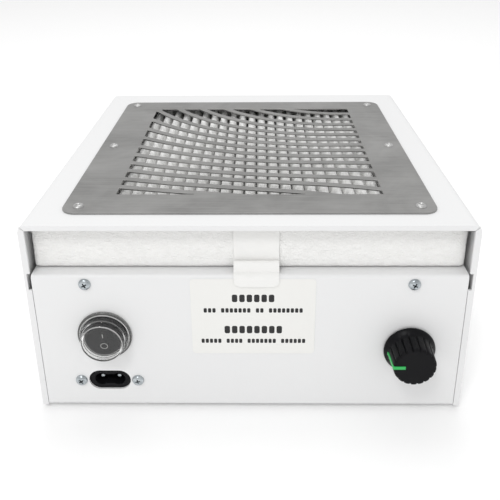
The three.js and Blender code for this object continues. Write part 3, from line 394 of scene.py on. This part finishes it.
def round_corners(cx, cy, width, depth, radius, steps=10):
    """Outline of a rectangle with round corners."""
    points = []
    for k, (sx, sy) in enumerate(((1, 1), (-1, 1), (-1, -1), (1, -1))):
        x = cx + sx * (width / 2 - radius)
        y = cy + sy * (depth / 2 - radius)
        for i in range(steps + 1):
            angle = math.pi / 2 * (k + i / steps)
            points.append((x + radius * math.cos(angle), y + radius * math.sin(angle)))
    return points


def carved(mesh, *cutters):
    """The mesh with closed cutter meshes taken out of it."""
    scene = bpy.context.scene
    solid = bpy.data.objects.new("solid", mesh)
    scene.collection.objects.link(solid)
    tools = []
    for cutter in cutters:
        tool = bpy.data.objects.new("tool", cutter)
        scene.collection.objects.link(tool)
        cut = solid.modifiers.new("cut", "BOOLEAN")
        cut.operation = "DIFFERENCE"
        cut.solver = "EXACT"
        cut.object = tool
        tools.append(tool)
    graph = bpy.context.evaluated_depsgraph_get()
    result = bpy.data.meshes.new_from_object(solid.evaluated_get(graph))
    for used in [solid, *tools]:
        bpy.data.objects.remove(used)
    result.set_sharp_from_angle(angle=math.radians(SHARP))
    return result


def rounded_path(points, radius, steps=6):
    """A line of 2-D points whose inner corners are arcs."""
    points = [Vector(point) for point in points]
    path = [points[0]]
    for before, corner, after in zip(points, points[1:], points[2:]):
        arriving = (before - corner).normalized()
        leaving = (after - corner).normalized()
        half = arriving.angle(leaving) / 2
        reach = radius / math.tan(half)
        centre = corner + (arriving + leaving).normalized() * (radius / math.sin(half))
        first = corner + arriving * reach - centre
        turn = math.pi - 2 * half
        if first.x * leaving.y - first.y * leaving.x < 0:
            turn = -turn
        for i in range(steps + 1):
            path.append(centre + Matrix.Rotation(turn * i / steps, 2) @ first)
    path.append(points[-1])
    return path


def resampled(path, spacing):
    """The same line of points at an even spacing."""
    lengths = [0.0]
    for a, b in zip(path, path[1:]):
        lengths.append(lengths[-1] + (b - a).length)
    count = max(2, round(lengths[-1] / spacing))
    points = []
    k = 0
    for i in range(count + 1):
        goal = lengths[-1] * i / count
        while k < len(path) - 2 and lengths[k + 1] < goal:
            k += 1
        share = (goal - lengths[k]) / (lengths[k + 1] - lengths[k])
        points.append(path[k].lerp(path[k + 1], share))
    return points


def thick_path(path, thickness):
    """The two sides of a line of 2-D points, half a thickness away from it."""
    left = []
    right = []
    for i, point in enumerate(path):
        along = (path[min(i + 1, len(path) - 1)] - path[max(i - 1, 0)]).normalized()
        aside = Vector((-along.y, along.x)) * (thickness / 2)
        left.append(point + aside)
        right.append(point - aside)
    return left, right


# ---------------------------------------------------------------- CAD nodes that stay
SLOT_OF = {part["node"]: part["material_slot"] for part in frame["record"]["subparts"]}
# Rounding of the nodes' edges in mm
EDGES = {"top_cover": 0.3, "chassis": 0.3, "filter_shelf": 0.25, "label": 0.05,
         "fan_housing": 0.6, "fan_rotor": 0.3, "inlet_body": 0.25, "switch_rocker": 0.3}
PLAIN_EDGE = 0.15
SAME_POINT = 0.004 * MM


def dress_cad_nodes():
    """Every CAD node gets its slot's material, clean faces and rounded edges."""
    for name, node in NODES.items():
        node.data.materials.clear()
        node.data.materials.append(LOOKS[SLOT_OF[name]])
        node.data.polygons.foreach_set("use_smooth", [True] * len(node.data.polygons))
        weld = node.modifiers.new("shared_corners", "WELD")
        weld.merge_threshold = SAME_POINT
        flat = node.modifiers.new("whole_faces", "DECIMATE")
        flat.decimate_type = "DISSOLVE"
        flat.angle_limit = math.radians(1)
        soften(node, EDGES.get(name, PLAIN_EDGE) * MM)


dress_cad_nodes()


# ---------------------------------------------------------------- suction grille
# The bars follow a slope field across the window, as in the CAD model. u runs from the left
# edge of the window to the right one and v from its far edge towards the near one, both in
# widths of the window.
WINDOW = {"width": 137.6, "depth": 146.5, "y": -2.45}
WAVE = {"steep": 1.546, "fade": 1.967, "lean": 0.283, "bow": 1.318, "tail": 0.265, "power": 7}
BAR = {"width": 4.1, "count": 13, "pitch": 9.4, "spread": 0.11, "middle": 7}
LOW_BARS = {"count": 2, "pitch": 0.077, "start": 0.93}
GRILLE_STEPS = 72
PLATE = {"y": -4.7, "corner": 7.5, "thick": 0.8, "edge": 0.1}
LEAST_SLOT = 0.45                # a slot narrower than this, in mm, stays closed
FIELD_LIMITS = (-0.3, 1.3)       # how far a bar may run past the window, as a v


def bar_slope(u, v):
    """Slope dv/du of the bars at a point of the window."""
    flat = 1 - WAVE["lean"] * v
    left = max(0.0, 1 - (max(u, 0.0) / flat) ** WAVE["bow"])
    fall = WAVE["steep"] * math.exp(-WAVE["fade"] * v) * left
    return fall + WAVE["tail"] * u * u * max(v, 0.0) ** WAVE["power"]


def bar_edges(v, from_left):
    """Near and far edge of a bar in mm from the window's far edge, at evenly spaced u."""
    step = (1 if from_left else -1) / GRILLE_STEPS
    u = 0.0 if from_left else 1.0
    near = []
    far = []
    for _ in range(GRILLE_STEPS + 1):
        slope = bar_slope(u, v)
        near.append(v * WINDOW["width"])
        far.append(v * WINDOW["width"] - BAR["width"] * math.hypot(1, slope))
        v += bar_slope(u + step / 2, v + slope * step / 2) * step
        v = min(max(v, FIELD_LIMITS[0]), FIELD_LIMITS[1])
        u += step
    if not from_left:
        near.reverse()
        far.reverse()
    return near, far


def all_bars():
    """The edges of every bar: the long ones from the far left, then the low ones."""
    bars = []
    v = 0.0
    for k in range(1, BAR["count"] + 1):
        v += (BAR["pitch"] + BAR["spread"] * (k - BAR["middle"]) ** 2) / WINDOW["width"]
        bars.append(bar_edges(v, False))
    for k in range(LOW_BARS["count"]):
        bars.append(bar_edges(LOW_BARS["start"] + k * LOW_BARS["pitch"], True))
    return bars


def slot_outlines():
    """Closed outlines of the open slots between the bars, inside the window."""
    bars = all_bars()
    depth = WINDOW["depth"]
    edge = [0.0] * (GRILLE_STEPS + 1)
    near_edges = [edge] + [near for near, far in bars]
    far_edges = [far for near, far in bars] + [[depth] * (GRILLE_STEPS + 1)]
    left = -WINDOW["width"] / 2
    back = WINDOW["y"] + depth / 2
    outlines = []
    for near, far in zip(near_edges, far_edges):
        run = []
        for i in range(GRILLE_STEPS + 2):
            open_here = False
            if i <= GRILLE_STEPS:
                low = min(max(near[i], 0.0), depth)
                high = min(max(far[i], 0.0), depth)
                open_here = high - low > LEAST_SLOT
            if open_here:
                run.append((left + WINDOW["width"] * i / GRILLE_STEPS, back - low, back - high))
            elif len(run) > 1:
                outlines.append([(x, a) for x, a, b in run]
                                + [(x, b) for x, a, b in reversed(run)])
                run = []
            else:
                run = []
    return outlines


def make_grille():
    """The steel plate with its slots, thinner than the CAD plate."""
    low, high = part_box("grille_plate")
    shift = (low.y + high.y) / 2 / MM - PLATE["y"]
    size = (high.x - low.x) / MM
    outer = round_corners(0, PLATE["y"], size, size, PLATE["corner"])
    outlines = [[(x * MM, (y + shift) * MM) for x, y in outline]
                for outline in [outer, *slot_outlines()]]
    mesh = curve_sheet("steel_grille", outlines, PLATE_TOP - PLATE["thick"] * MM, PLATE_TOP,
                       PLATE["edge"] * MM)
    add_piece("steel_grille", mesh, LOOKS["stainless"], "case", ["grille_plate"])


RIVET_DOME = [(0, 0.62), (0.75, 0.62), (0.85, 0.78), (1.0, 1.0), (1.3, 1.1), (1.9, 0.95),
              (2.4, 0.62), (2.72, 0.22), (2.8, 0.0), (1.6, 0.0), (1.6, -2.8), (0, -2.8)]


def make_rivets():
    """Blind rivets: a domed flange round the end of the broken mandrel."""
    for i in range(1, 7):
        node = f"grille_rivet_{i}"
        seat = middle(node)
        seat.z = PLATE_TOP
        mesh = mesh_from(node, turned(RIVET_DOME, seat, UP, 40))
        piece = add_piece(f"rivet_head_{i}", mesh, LOOKS["aluminium"], "case", [node])
        soften(piece, 0.06 * MM)


# ---------------------------------------------------------------- filter cartridge
FELT = {"wall": 12, "inset": 0.15, "outer_corner": 1.6, "inner_corner": 1.0, "edge": 0.9,
        "voxel": 1.5, "lumps": 0.16}


def voxel_felt(mesh, depth):
    """Remeshes a form and lets its skin wander a little, as needled felt does."""
    holder = bpy.data.objects.new("felt", mesh)
    bpy.context.scene.collection.objects.link(holder)
    remesh = holder.modifiers.new("skin", "REMESH")
    remesh.mode = "VOXEL"
    remesh.voxel_size = FELT["voxel"] * MM
    even = holder.modifiers.new("even", "SMOOTH")
    even.factor = 0.5
    even.iterations = 2
    graph = bpy.context.evaluated_depsgraph_get()
    result = bpy.data.meshes.new_from_object(holder.evaluated_get(graph))
    bpy.data.objects.remove(holder)
    normals = [vertex.normal.copy() for vertex in result.vertices]
    for vertex, normal in zip(result.vertices, normals):
        place = vertex.co / MM
        lump = noise.noise(place / 4.5) + 0.5 * noise.noise(place / 1.9)
        vertex.co += normal * (depth * lump)
    result.polygons.foreach_set("use_smooth", [True] * len(result.polygons))
    return result


def make_filter_frame():
    """The cartridge's frame of thick felt, a little smaller than its CAD solid."""
    low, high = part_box("filter_frame")
    centre = (low + high) / 2
    size = high - low
    inset = FELT["inset"] * MM
    wall = FELT["wall"] * MM
    outer = round_corners(centre.x, centre.y, size.x - 2 * inset, size.y - 2 * inset,
                          FELT["outer_corner"] * MM)
    inner = round_corners(centre.x, centre.y, size.x - 2 * wall, size.y - 2 * wall,
                          FELT["inner_corner"] * MM)
    mesh = curve_sheet("felt_frame", [outer, inner], low.z + inset, high.z - inset,
                       FELT["edge"] * MM)
    add_piece("felt_frame", voxel_felt(mesh, FELT["lumps"] * MM), LOOKS["filter_felt"], "filter",
              ["filter_frame"])


PLEAT = {"pitch": 6.8, "thick": 0.45, "fullness": 3.4, "samples": 16, "rows": 24, "sway": 0.25}


def make_pleats():
    """A sheet of filter paper in rounded folds that run from front to back."""
    low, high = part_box("filter_pleats")
    count = round((high.x - low.x) / (PLEAT["pitch"] * MM))
    rise = (high.z - low.z) - PLEAT["thick"] * MM
    steps = count * PLEAT["samples"]
    rows = PLEAT["rows"]
    form = bmesh.new()
    grid = []
    for i in range(steps + 1):
        share = i / steps
        x = low.x + (high.x - low.x) * share
        off_ridge = abs(2 * (count * share % 1) - 1)
        z = low.z + PLEAT["thick"] * MM / 2 + rise * (1 - off_ridge ** PLEAT["fullness"])
        line = []
        for j in range(rows + 1):
            y = low.y + (high.y - low.y) * j / rows
            ripple = noise.noise(Vector((x / MM / 9, y / MM / 30, 3.0)))
            sway = PLEAT["sway"] * MM * ripple
            line.append(form.verts.new((x + sway, y, z)))
        grid.append(line)
    for left, right in zip(grid, grid[1:]):
        for j in range(rows):
            form.faces.new((left[j], right[j], right[j + 1], left[j + 1]))
    piece = add_piece("pleated_paper", mesh_from("pleated_paper", form, 60),
                      LOOKS["pleat_paper"], "filter", ["filter_pleats"])
    skin = piece.modifiers.new("paper_thickness", "SOLIDIFY")
    skin.thickness = PLEAT["thick"] * MM
    skin.offset = 0


TAB = {"thick": 0.55, "corner": 3, "bend": 2.6, "spacing": 1.0, "columns": 20, "wave": 0.18,
       "off_face": 0.4, "off_panel": 0.35, "off_sill": 0.2, "edge": 0.15}


def make_pull_tab():
    """The pull tab: a soft strip down the filter's face, over the sill and in front of it."""
    low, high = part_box("filter_tab")
    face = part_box("filter_frame")[0].y
    upper_y = face - TAB["off_face"] * MM
    lower_y = low.y + TAB["off_panel"] * MM
    fold_z = SILL + TAB["off_sill"] * MM
    spacing = TAB["spacing"] * MM
    corners = [(upper_y, high.z), (upper_y, fold_z), (lower_y, fold_z), (lower_y, low.z)]
    path = resampled(rounded_path(corners, TAB["bend"] * MM), spacing)
    half = (high.x - low.x) / 2
    centre = (high.x + low.x) / 2
    corner = TAB["corner"] * MM
    columns = TAB["columns"]
    form = bmesh.new()
    grid = []
    for i, point in enumerate(path):
        left = (len(path) - 1 - i) * spacing
        pull = max(0.0, corner - left)
        reach = half - (corner - math.sqrt(max(corner ** 2 - pull ** 2, 0.0)))
        line = []
        for j in range(columns + 1):
            share = 2 * j / columns - 1
            x = centre + share * reach
            wave = TAB["wave"] * MM * noise.noise(Vector((x / MM / 8, i / 7, 1.0)))
            line.append(form.verts.new((x, point.x + wave, point.y)))
        grid.append(line)
    for upper, lower in zip(grid, grid[1:]):
        for j in range(columns):
            form.faces.new((upper[j], upper[j + 1], lower[j + 1], lower[j]))
    piece = add_piece("pull_tab", mesh_from("pull_tab", form, 60), TAB_CLOTH,
                      "filter", ["filter_tab"])
    skin = piece.modifiers.new("felt_thickness", "SOLIDIFY")
    skin.thickness = TAB["thick"] * MM
    skin.offset = 0
    soften(piece, TAB["edge"] * MM)


# ---------------------------------------------------------------- power switch
BEZEL = [(0, -6.5), (9.75, -6.5), (9.75, 1.7), (9.95, 1.95), (10.3, 2.05), (10.9, 1.9),
         (11.4, 1.5), (11.75, 1.0), (11.8, 0.6), (11.8, 0), (9.8, 0), (9.8, -16), (0, -16)]
CAP = [(0, 7.9), (6, 7.9), (9.2, 7.88), (9.45, 8.02), (9.7, 8.18), (9.95, 8.2), (10.2, 8.1),
       (10.35, 7.8), (10.5, 7.1), (10.85, 5.7), (11.0, 5.35), (11.25, 5.25), (11.4, 5.0),
       (11.4, 4.7), (11.35, 4.4), (11.4, 4.0), (11.9, 2.7), (12.25, 2.1), (12.6, 1.8),
       (13.0, 1.7), (13.35, 1.5), (13.58, 1.1), (13.6, 0.4), (13.5, 0.05), (11.95, 0.05),
       (11.9, 0.9), (11.7, 1.7), (11.4, 2.5), (10.95, 3.8), (10.45, 5.4), (10.05, 6.9),
       (9.85, 7.2), (9.4, 7.36), (6, 7.4), (0, 7.4)]
CAP_LOOKS = [LOOKS["clear_plastic"], HAZE, RIM_HIGHLIGHT]     # the wall, the flange, the rings with a painted highlight
FLANGE_LOOK = 1
RING_LOOK = 2
ROUND_STEPS = 96


def make_switch():
    """The switch's bezel and the clear cap over it, with three rings moulded into it whose paler
    vinyl is a painted highlight.
    """
    seat = on_panel("switch_boot")
    mesh = mesh_from("switch_bezel", turned(BEZEL, seat, OUTWARD, ROUND_STEPS))
    piece = add_piece("switch_bezel", mesh, LOOKS["black_plastic"], "case",
                      ["switch_housing"])
    soften(piece, 0.12 * MM)

    form = turned(CAP, seat, OUTWARD, ROUND_STEPS)
    for part in form.faces:
        spot = part.calc_center_median() - seat
        reach = spot.dot(OUTWARD) / MM
        radius = spot.cross(OUTWARD).length / MM
        front_rim = reach > 7.9 and 9.95 < radius
        wall_foot = reach > 1.7 and 12.2 < radius < 12.5
        wall_bead = 4.6 < reach < 5.1 and radius > 11.3
        if front_rim or wall_bead or wall_foot:
            part.material_index = RING_LOOK
        elif radius > 12.5:
            part.material_index = FLANGE_LOOK
    mesh = mesh_from("splash_cap", form, 60)
    add_piece("splash_cap", mesh, CAP_LOOKS, "case", ["switch_boot"])


ROCKER = {"pivot": 1.5, "tilt": 10, "face": 3.3, "sag": 0.9, "swing": 9.4}
RING = {"height": -3.6, "radius": 1.7, "line": 0.26, "steps": 40}
STROKE = {"height": 3.2, "half": 1.35, "line": 0.36}
MARK_LIFTS = (0.03, 0.06)       # how far the under and the upper side of a mark stand off


def rocker_point(x, height, lift):
    """A point on the rocker's dished face, x and height in mm from its middle."""
    half = math.sqrt(ROCKER["swing"] ** 2 - ROCKER["face"] ** 2)
    dish = ROCKER["face"] - ROCKER["sag"] / 2 * (1 - (height / half) ** 2)
    pivot = on_panel("switch_rocker") + OUTWARD * ROCKER["pivot"] * MM
    pivot.z = on_panel("switch_boot").z
    turn = Matrix.Rotation(math.radians(ROCKER["tilt"]), 3, "X")
    return pivot + turn @ Vector((x * MM, -(dish + lift) * MM, height * MM))


def make_rocker_marks():
    """The on and off marks: a bar above and a ring below, printed on the rocker."""
    form = bmesh.new()
    steps = RING["steps"]
    for lift in MARK_LIFTS:
        rings = []
        for radius in (RING["radius"] - RING["line"] / 2, RING["radius"] + RING["line"] / 2):
            turns = [2 * math.pi * i / steps for i in range(steps)]
            rings.append([form.verts.new(rocker_point(
                radius * math.cos(turn), RING["height"] + radius * math.sin(turn), lift))
                for turn in turns])
        join_rings(form, rings[0], rings[1], steps)
        corners = [(-STROKE["line"] / 2, -STROKE["half"]), (STROKE["line"] / 2, -STROKE["half"]),
                   (STROKE["line"] / 2, STROKE["half"]), (-STROKE["line"] / 2, STROKE["half"])]
        form.faces.new([form.verts.new(rocker_point(x, STROKE["height"] + y, lift))
                        for x, y in corners])
    mesh = mesh_from("rocker_marks", form)
    add_piece("rocker_marks", mesh, MARK, "rocker")


# ---------------------------------------------------------------- screws
CROSS = {"long": 1.5, "short": 0.36, "deep": 1.15, "over": 0.4, "foot": 0.55, "mouth": 1.05}
SCREW_STEPS = 48


def cross_cutter(seat, axis, top, floor, spin):
    """A tapering cross that cuts the recess of a screw head. Heights are in mm."""
    long = CROSS["long"]
    short = CROSS["short"]
    outline = []
    for quarter in range(4):
        turn = Matrix.Rotation(math.pi / 2 * quarter + spin, 2)
        outline += [turn @ Vector(point) for point in
                    ((short, short), (short, long), (-short, long))]
    basis = turn_basis(axis)
    form = bmesh.new()
    loops = []
    for height, scale in ((floor, CROSS["foot"]), (top, CROSS["mouth"])):
        loops.append([form.verts.new(seat + basis @ (Vector((x * scale, y * scale, height)) * MM))
                      for x, y in outline])
    join_rings(form, loops[0], loops[1], len(outline))
    form.faces.new(loops[0])
    form.faces.new(loops[1])
    return mesh_from("cross", form)


def make_screw(name, node, profile, axis, seat, spin):
    """A screw with a cross recess whose faces, below the head's top, get a darker material as
    painted shade.
    """
    top = max(reach for radius, reach in profile)
    solid = mesh_from(name, turned(profile, seat, axis, SCREW_STEPS))
    cutter = cross_cutter(seat, axis, top + CROSS["over"], top - CROSS["deep"], spin)
    mesh = carved(solid, cutter)
    mesh.name = name
    for face in mesh.polygons:
        depth = top - (face.center - seat).dot(axis) / MM
        offset = (face.center - seat).cross(axis).length / MM
        if offset < 1.7 and 0.35 < depth < 1.3:
            face.material_index = 1
    piece = add_piece(name, mesh, [LOOKS["zinc"], RECESS], "case", [node])
    soften(piece, 0.05 * MM)


PAN_HEAD = [(0, 1.7), (1.0, 1.69), (1.8, 1.58), (2.4, 1.32), (2.8, 0.92), (3.0, 0.45),
            (3.05, 0.0), (1.45, 0.0), (1.45, -6.6), (0.9, -7.4), (0, -7.4)]
FLUSH_HEAD = [(0, 0.0), (2.6, 0.0), (2.85, -0.06), (1.5, -1.2), (1.5, -6.5), (0.9, -7.4),
              (0, -7.4)]
# How far each screw's cross is turned, in radians
SPINS = {"panel_screw_1": 0.5, "panel_screw_2": 1.1, "inlet_screw_1": 0.65,
         "inlet_screw_2": 0.2, "rear_screw_1": 0.9, "rear_screw_2": 0.3}


def make_screws():
    """Pan heads on the panel and the rear wall, flush heads on the cover's sides."""
    for node, spin in SPINS.items():
        rear = node.startswith("rear")
        seat = on_panel(node)
        if rear:
            seat.y = REAR
        make_screw(f"{node}_pan", node, PAN_HEAD, -OUTWARD if rear else OUTWARD, seat, spin)
    for i in range(1, 5):
        node = f"cover_screw_{i}"
        low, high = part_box(node)
        right = low.x > 0
        seat = (low + high) / 2
        seat.x = high.x if right else low.x
        axis = Vector((1 if right else -1, 0, 0))
        make_screw(f"{node}_flush", node, FLUSH_HEAD, axis, seat, 0.4 * i)


# ---------------------------------------------------------------- mains inlet pins
def make_inlet_pins():
    """Two round pins with domed ends, set back in the inlet."""
    pin = [(0, -3.0), (0.55, -3.02), (0.95, -3.2), (1.15, -3.6), (1.2, -4.1), (1.2, -17.8),
           (0.4, -17.8), (0.4, -24.0), (0, -24.0)]
    for i in (1, 2):
        node = f"inlet_pin_{i}"
        mesh = mesh_from(node, turned(pin, on_panel(node), OUTWARD, 32))
        add_piece(f"round_pin_{i}", mesh, LOOKS["zinc"], "case", [node])


# ---------------------------------------------------------------- speed knob
KNOB = {"flutes": 18, "groove": 0.62, "narrow": 0.17, "crown": 0.16, "columns": 14}
POINTER = {"half": 0.85, "thick": 0.5, "bend": 0.4, "edge": 0.1}
# Rows of the knob's skin from its foot to its face: radius in mm, share of the flutes' full
# depth, height over the panel in mm
KNOB_ROWS = [(0, 0, 6.2), (6.8, 0, 6.2), (6.8, 0, 0.9), (12.6, 0, 0.9), (12.85, 0, 1.1),
             (12.9, 0, 1.5), (12.85, 0, 2.1), (12.6, 0, 2.6), (12.1, 0, 3.15), (11.5, 0.1, 3.8),
             (11.1, 0.4, 4.4), (10.95, 0.8, 5.0), (10.88, 1, 6.0), (10.7, 1, 9.5), (10.55, 1, 13.4),
             (10.46, 1, 14.1), (10.25, 0.95, 14.6), (9.9, 0.8, 14.88), (9.4, 0.35, 14.97),
             (8.6, 0, 15.0), (5.5, 0, 14.96), (0, 0, 14.9)]


def make_knob():
    """The knob: a skirt, and a slightly conical grip with broad ribs between narrow grooves."""
    centre = on_panel("knob")
    basis = turn_basis(OUTWARD)
    total = KNOB["flutes"] * KNOB["columns"]
    form = bmesh.new()
    rings = []
    for radius, share, reach in KNOB_ROWS:
        ring = []
        for i in range(1 if radius == 0 else total):
            angle = 2 * math.pi * i / total
            phase = (i / KNOB["columns"]) % 1
            away = min(phase, 1 - phase)
            groove = max(0.0, 1 - away / KNOB["narrow"]) ** 1.3
            crown = KNOB["crown"] * (away / 0.5 - 1) ** 2
            cut = share * (KNOB["groove"] * groove + crown)
            spoke = Vector(((radius - cut) * math.cos(angle), (radius - cut) * math.sin(angle),
                            reach))
            ring.append(form.verts.new(centre + basis @ (spoke * MM)))
        rings.append(ring)
    for lower, upper in zip(rings, rings[1:]):
        join_rings(form, lower, upper, total)
    mesh = mesh_from("speed_knob", form, 50)
    add_piece("speed_knob", mesh, LOOKS["knob_plastic"], "knob", ["knob"])

    path = rounded_path([(4.7, 15.05), (10.5, 15.05), (10.98, 5.0), (11.3, 4.1)],
                        POINTER["bend"])
    above, below = thick_path(path, POINTER["thick"])
    form = bmesh.new()
    sides = []
    for z in (-POINTER["half"], POINTER["half"]):
        sides.append([form.verts.new(centre + Vector((-radius, -reach, z)) * MM)
                      for radius, reach in above + below[::-1]])
    join_rings(form, sides[0], sides[1], len(sides[0]))
    form.faces.new(sides[0])
    form.faces.new(sides[1])
    piece = add_piece("pointer_line", mesh_from("pointer_line", form), LOOKS["green_plastic"],
                      "knob", ["knob_pointer"])
    soften(piece, POINTER["edge"] * MM)


# ---------------------------------------------------------------- printed label
# Each printed line is (its middle's distance from the label's top as a share of the label's
# height, the height of its blocks in mm, the number of blocks in each word). Plain blocks stand
# for the letters of the words.
PRINT = [(0.25, 4.3, [6]), (0.41, 2.55, [3, 7, 2, 8]), (0.67, 4.4, [8]),
         (0.825, 2.5, [5, 4, 7, 6])]
BLOCK = {"wide": 0.62, "pitch": 0.84, "corner": 0.2}    # shares of a block's height
INK_LIFTS = (-0.05, 0.03)       # under and upper side of a block, in mm off the label's face


def make_print():
    """Rows of plain rounded blocks where the label has lines of small print."""
    low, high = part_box("label")
    form = bmesh.new()
    for share, tall, words in PRINT:
        z = (high.z - share * (high.z - low.z)) / MM
        places = sum(words) + len(words) - 1
        x = middle("label").x / MM - (places - 1) / 2 * BLOCK["pitch"] * tall
        for count in words:
            for _ in range(count):
                outline = round_corners(x, z, BLOCK["wide"] * tall, tall,
                                        BLOCK["corner"] * tall, 3)
                loops = [[form.verts.new((u * MM, low.y - lift * MM, v * MM)) for u, v in outline]
                         for lift in INK_LIFTS]
                join_rings(form, loops[0], loops[1], len(outline))
                form.faces.new(loops[0])
                form.faces.new(loops[1])
                x += BLOCK["pitch"] * tall
            x += BLOCK["pitch"] * tall
    add_piece("printed_lines", mesh_from("printed_lines", form), INK, "case")


# ---------------------------------------------------------------- feet
FOOT_HEIGHT = 2.5      # the pad's height in the profile below
PAD = [(0, 0.9), (1.9, 0.9), (2.2, 0.2), (2.6, 0.0), (5.1, 0.0), (5.7, 0.25), (6.3, 1.6),
       (6.5, 2.1), (6.5, 2.5), (2.0, 2.5), (2.0, 3.7), (3.3, 3.8), (2.2, 5.2), (0, 5.3)]


def make_feet():
    """Push-in rubber feet with a hollow in the middle of the pad."""
    floor_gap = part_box("chassis")[0].z / MM
    for i in range(1, 5):
        node = f"foot_{i}"
        seat = middle(node)
        seat.z = 0
        profile = [(radius, reach * floor_gap / FOOT_HEIGHT) for radius, reach in PAD]
        mesh = mesh_from(node, turned(profile, seat, UP, 48))
        piece = add_piece(f"rubber_foot_{i}", mesh, LOOKS["rubber"], "case", [node])
        soften(piece, 0.12 * MM)


for make in (make_grille, make_rivets, make_filter_frame, make_pleats, make_pull_tab,
             make_switch, make_rocker_marks, make_screws, make_inlet_pins, make_knob,
             make_print, make_feet):
    make()


# ---------------------------------------------------------------- floor, light and camera
SKY = 0.8
# Name, place, side of the square and power in watts
LAMPS = [("front_top", (-0.35, -0.9, 1.25), 0.35, 5.6), ("back_top", (0, 0.5, 1.5), 0.8, 5.0)]
AIM = Vector((0, 0, 0.05))      # the point that the lamps face
FLOOR_GLOW = 0.1
FLOOR_HALF = 6


def make_stage():
    """A wide pale floor under a white sky, with a lamp in front and one above the rear."""
    form = bmesh.new()
    bmesh.ops.create_grid(form, x_segments=8, y_segments=8, size=FLOOR_HALF)
    mesh = mesh_from("floor", form)
    floor = bpy.data.objects.new("floor", mesh)
    bpy.context.scene.collection.objects.link(floor)
    mesh.materials.append(moulded("pale_floor", (0.9, 0.9, 0.9), (0.89, 0.89, 0.89),
                                  (0.7, 0.8), 0.01, 0.0, patch=0.4,
                                  emission_color=(1, 1, 1, 1), emission_strength=FLOOR_GLOW))

    world = bpy.data.worlds.new("studio")
    world.use_nodes = True
    background = world.node_tree.nodes["Background"]
    background.inputs["Color"].default_value = (1, 1, 1, 1)
    background.inputs["Strength"].default_value = SKY
    bpy.context.scene.world = world

    for name, place, size, power in LAMPS:
        light = bpy.data.lights.new(name, "AREA")
        light.size = size
        light.energy = power
        lamp = bpy.data.objects.new(name, light)
        lamp.location = place
        lamp.rotation_euler = (AIM - Vector(place)).to_track_quat("-Z", "Y").to_euler()
        bpy.context.scene.collection.objects.link(lamp)
    bpy.context.scene.view_settings.view_transform = "Standard"


# Place in metres, angles in degrees, lens in mm, shift as a share of the picture's width
CAMERA = {"place": (0.00494, -0.37031, 0.24874), "yaw": -0.852, "down": 21.019, "roll": -0.436,
          "lens": 46.457, "shift": -0.20}


def make_camera():
    """A camera a little above the control panel, looking down on the grille."""
    data = bpy.data.cameras.new("camera")
    data.sensor_width = 36
    data.lens = CAMERA["lens"]
    data.shift_y = CAMERA["shift"]
    camera = bpy.data.objects.new("camera", data)
    bpy.context.scene.collection.objects.link(camera)
    yaw = math.radians(CAMERA["yaw"])
    down = math.radians(CAMERA["down"])
    roll = math.radians(CAMERA["roll"])
    level = Vector((math.sin(yaw), math.cos(yaw), 0))
    forward = level * math.cos(down) - UP * math.sin(down)
    upright = UP * math.cos(down) + level * math.sin(down)
    sideways = Vector((math.cos(yaw), -math.sin(yaw), 0))
    right = sideways * math.cos(roll) + upright * math.sin(roll)
    top = upright * math.cos(roll) - sideways * math.sin(roll)
    turn = Matrix((right, top, -forward)).transposed()
    camera.matrix_world = Matrix.Translation(CAMERA["place"]) @ turn.to_4x4()
    data.clip_start = 0.01
    data.clip_end = 50
    bpy.context.scene.camera = camera


make_stage()
make_camera()
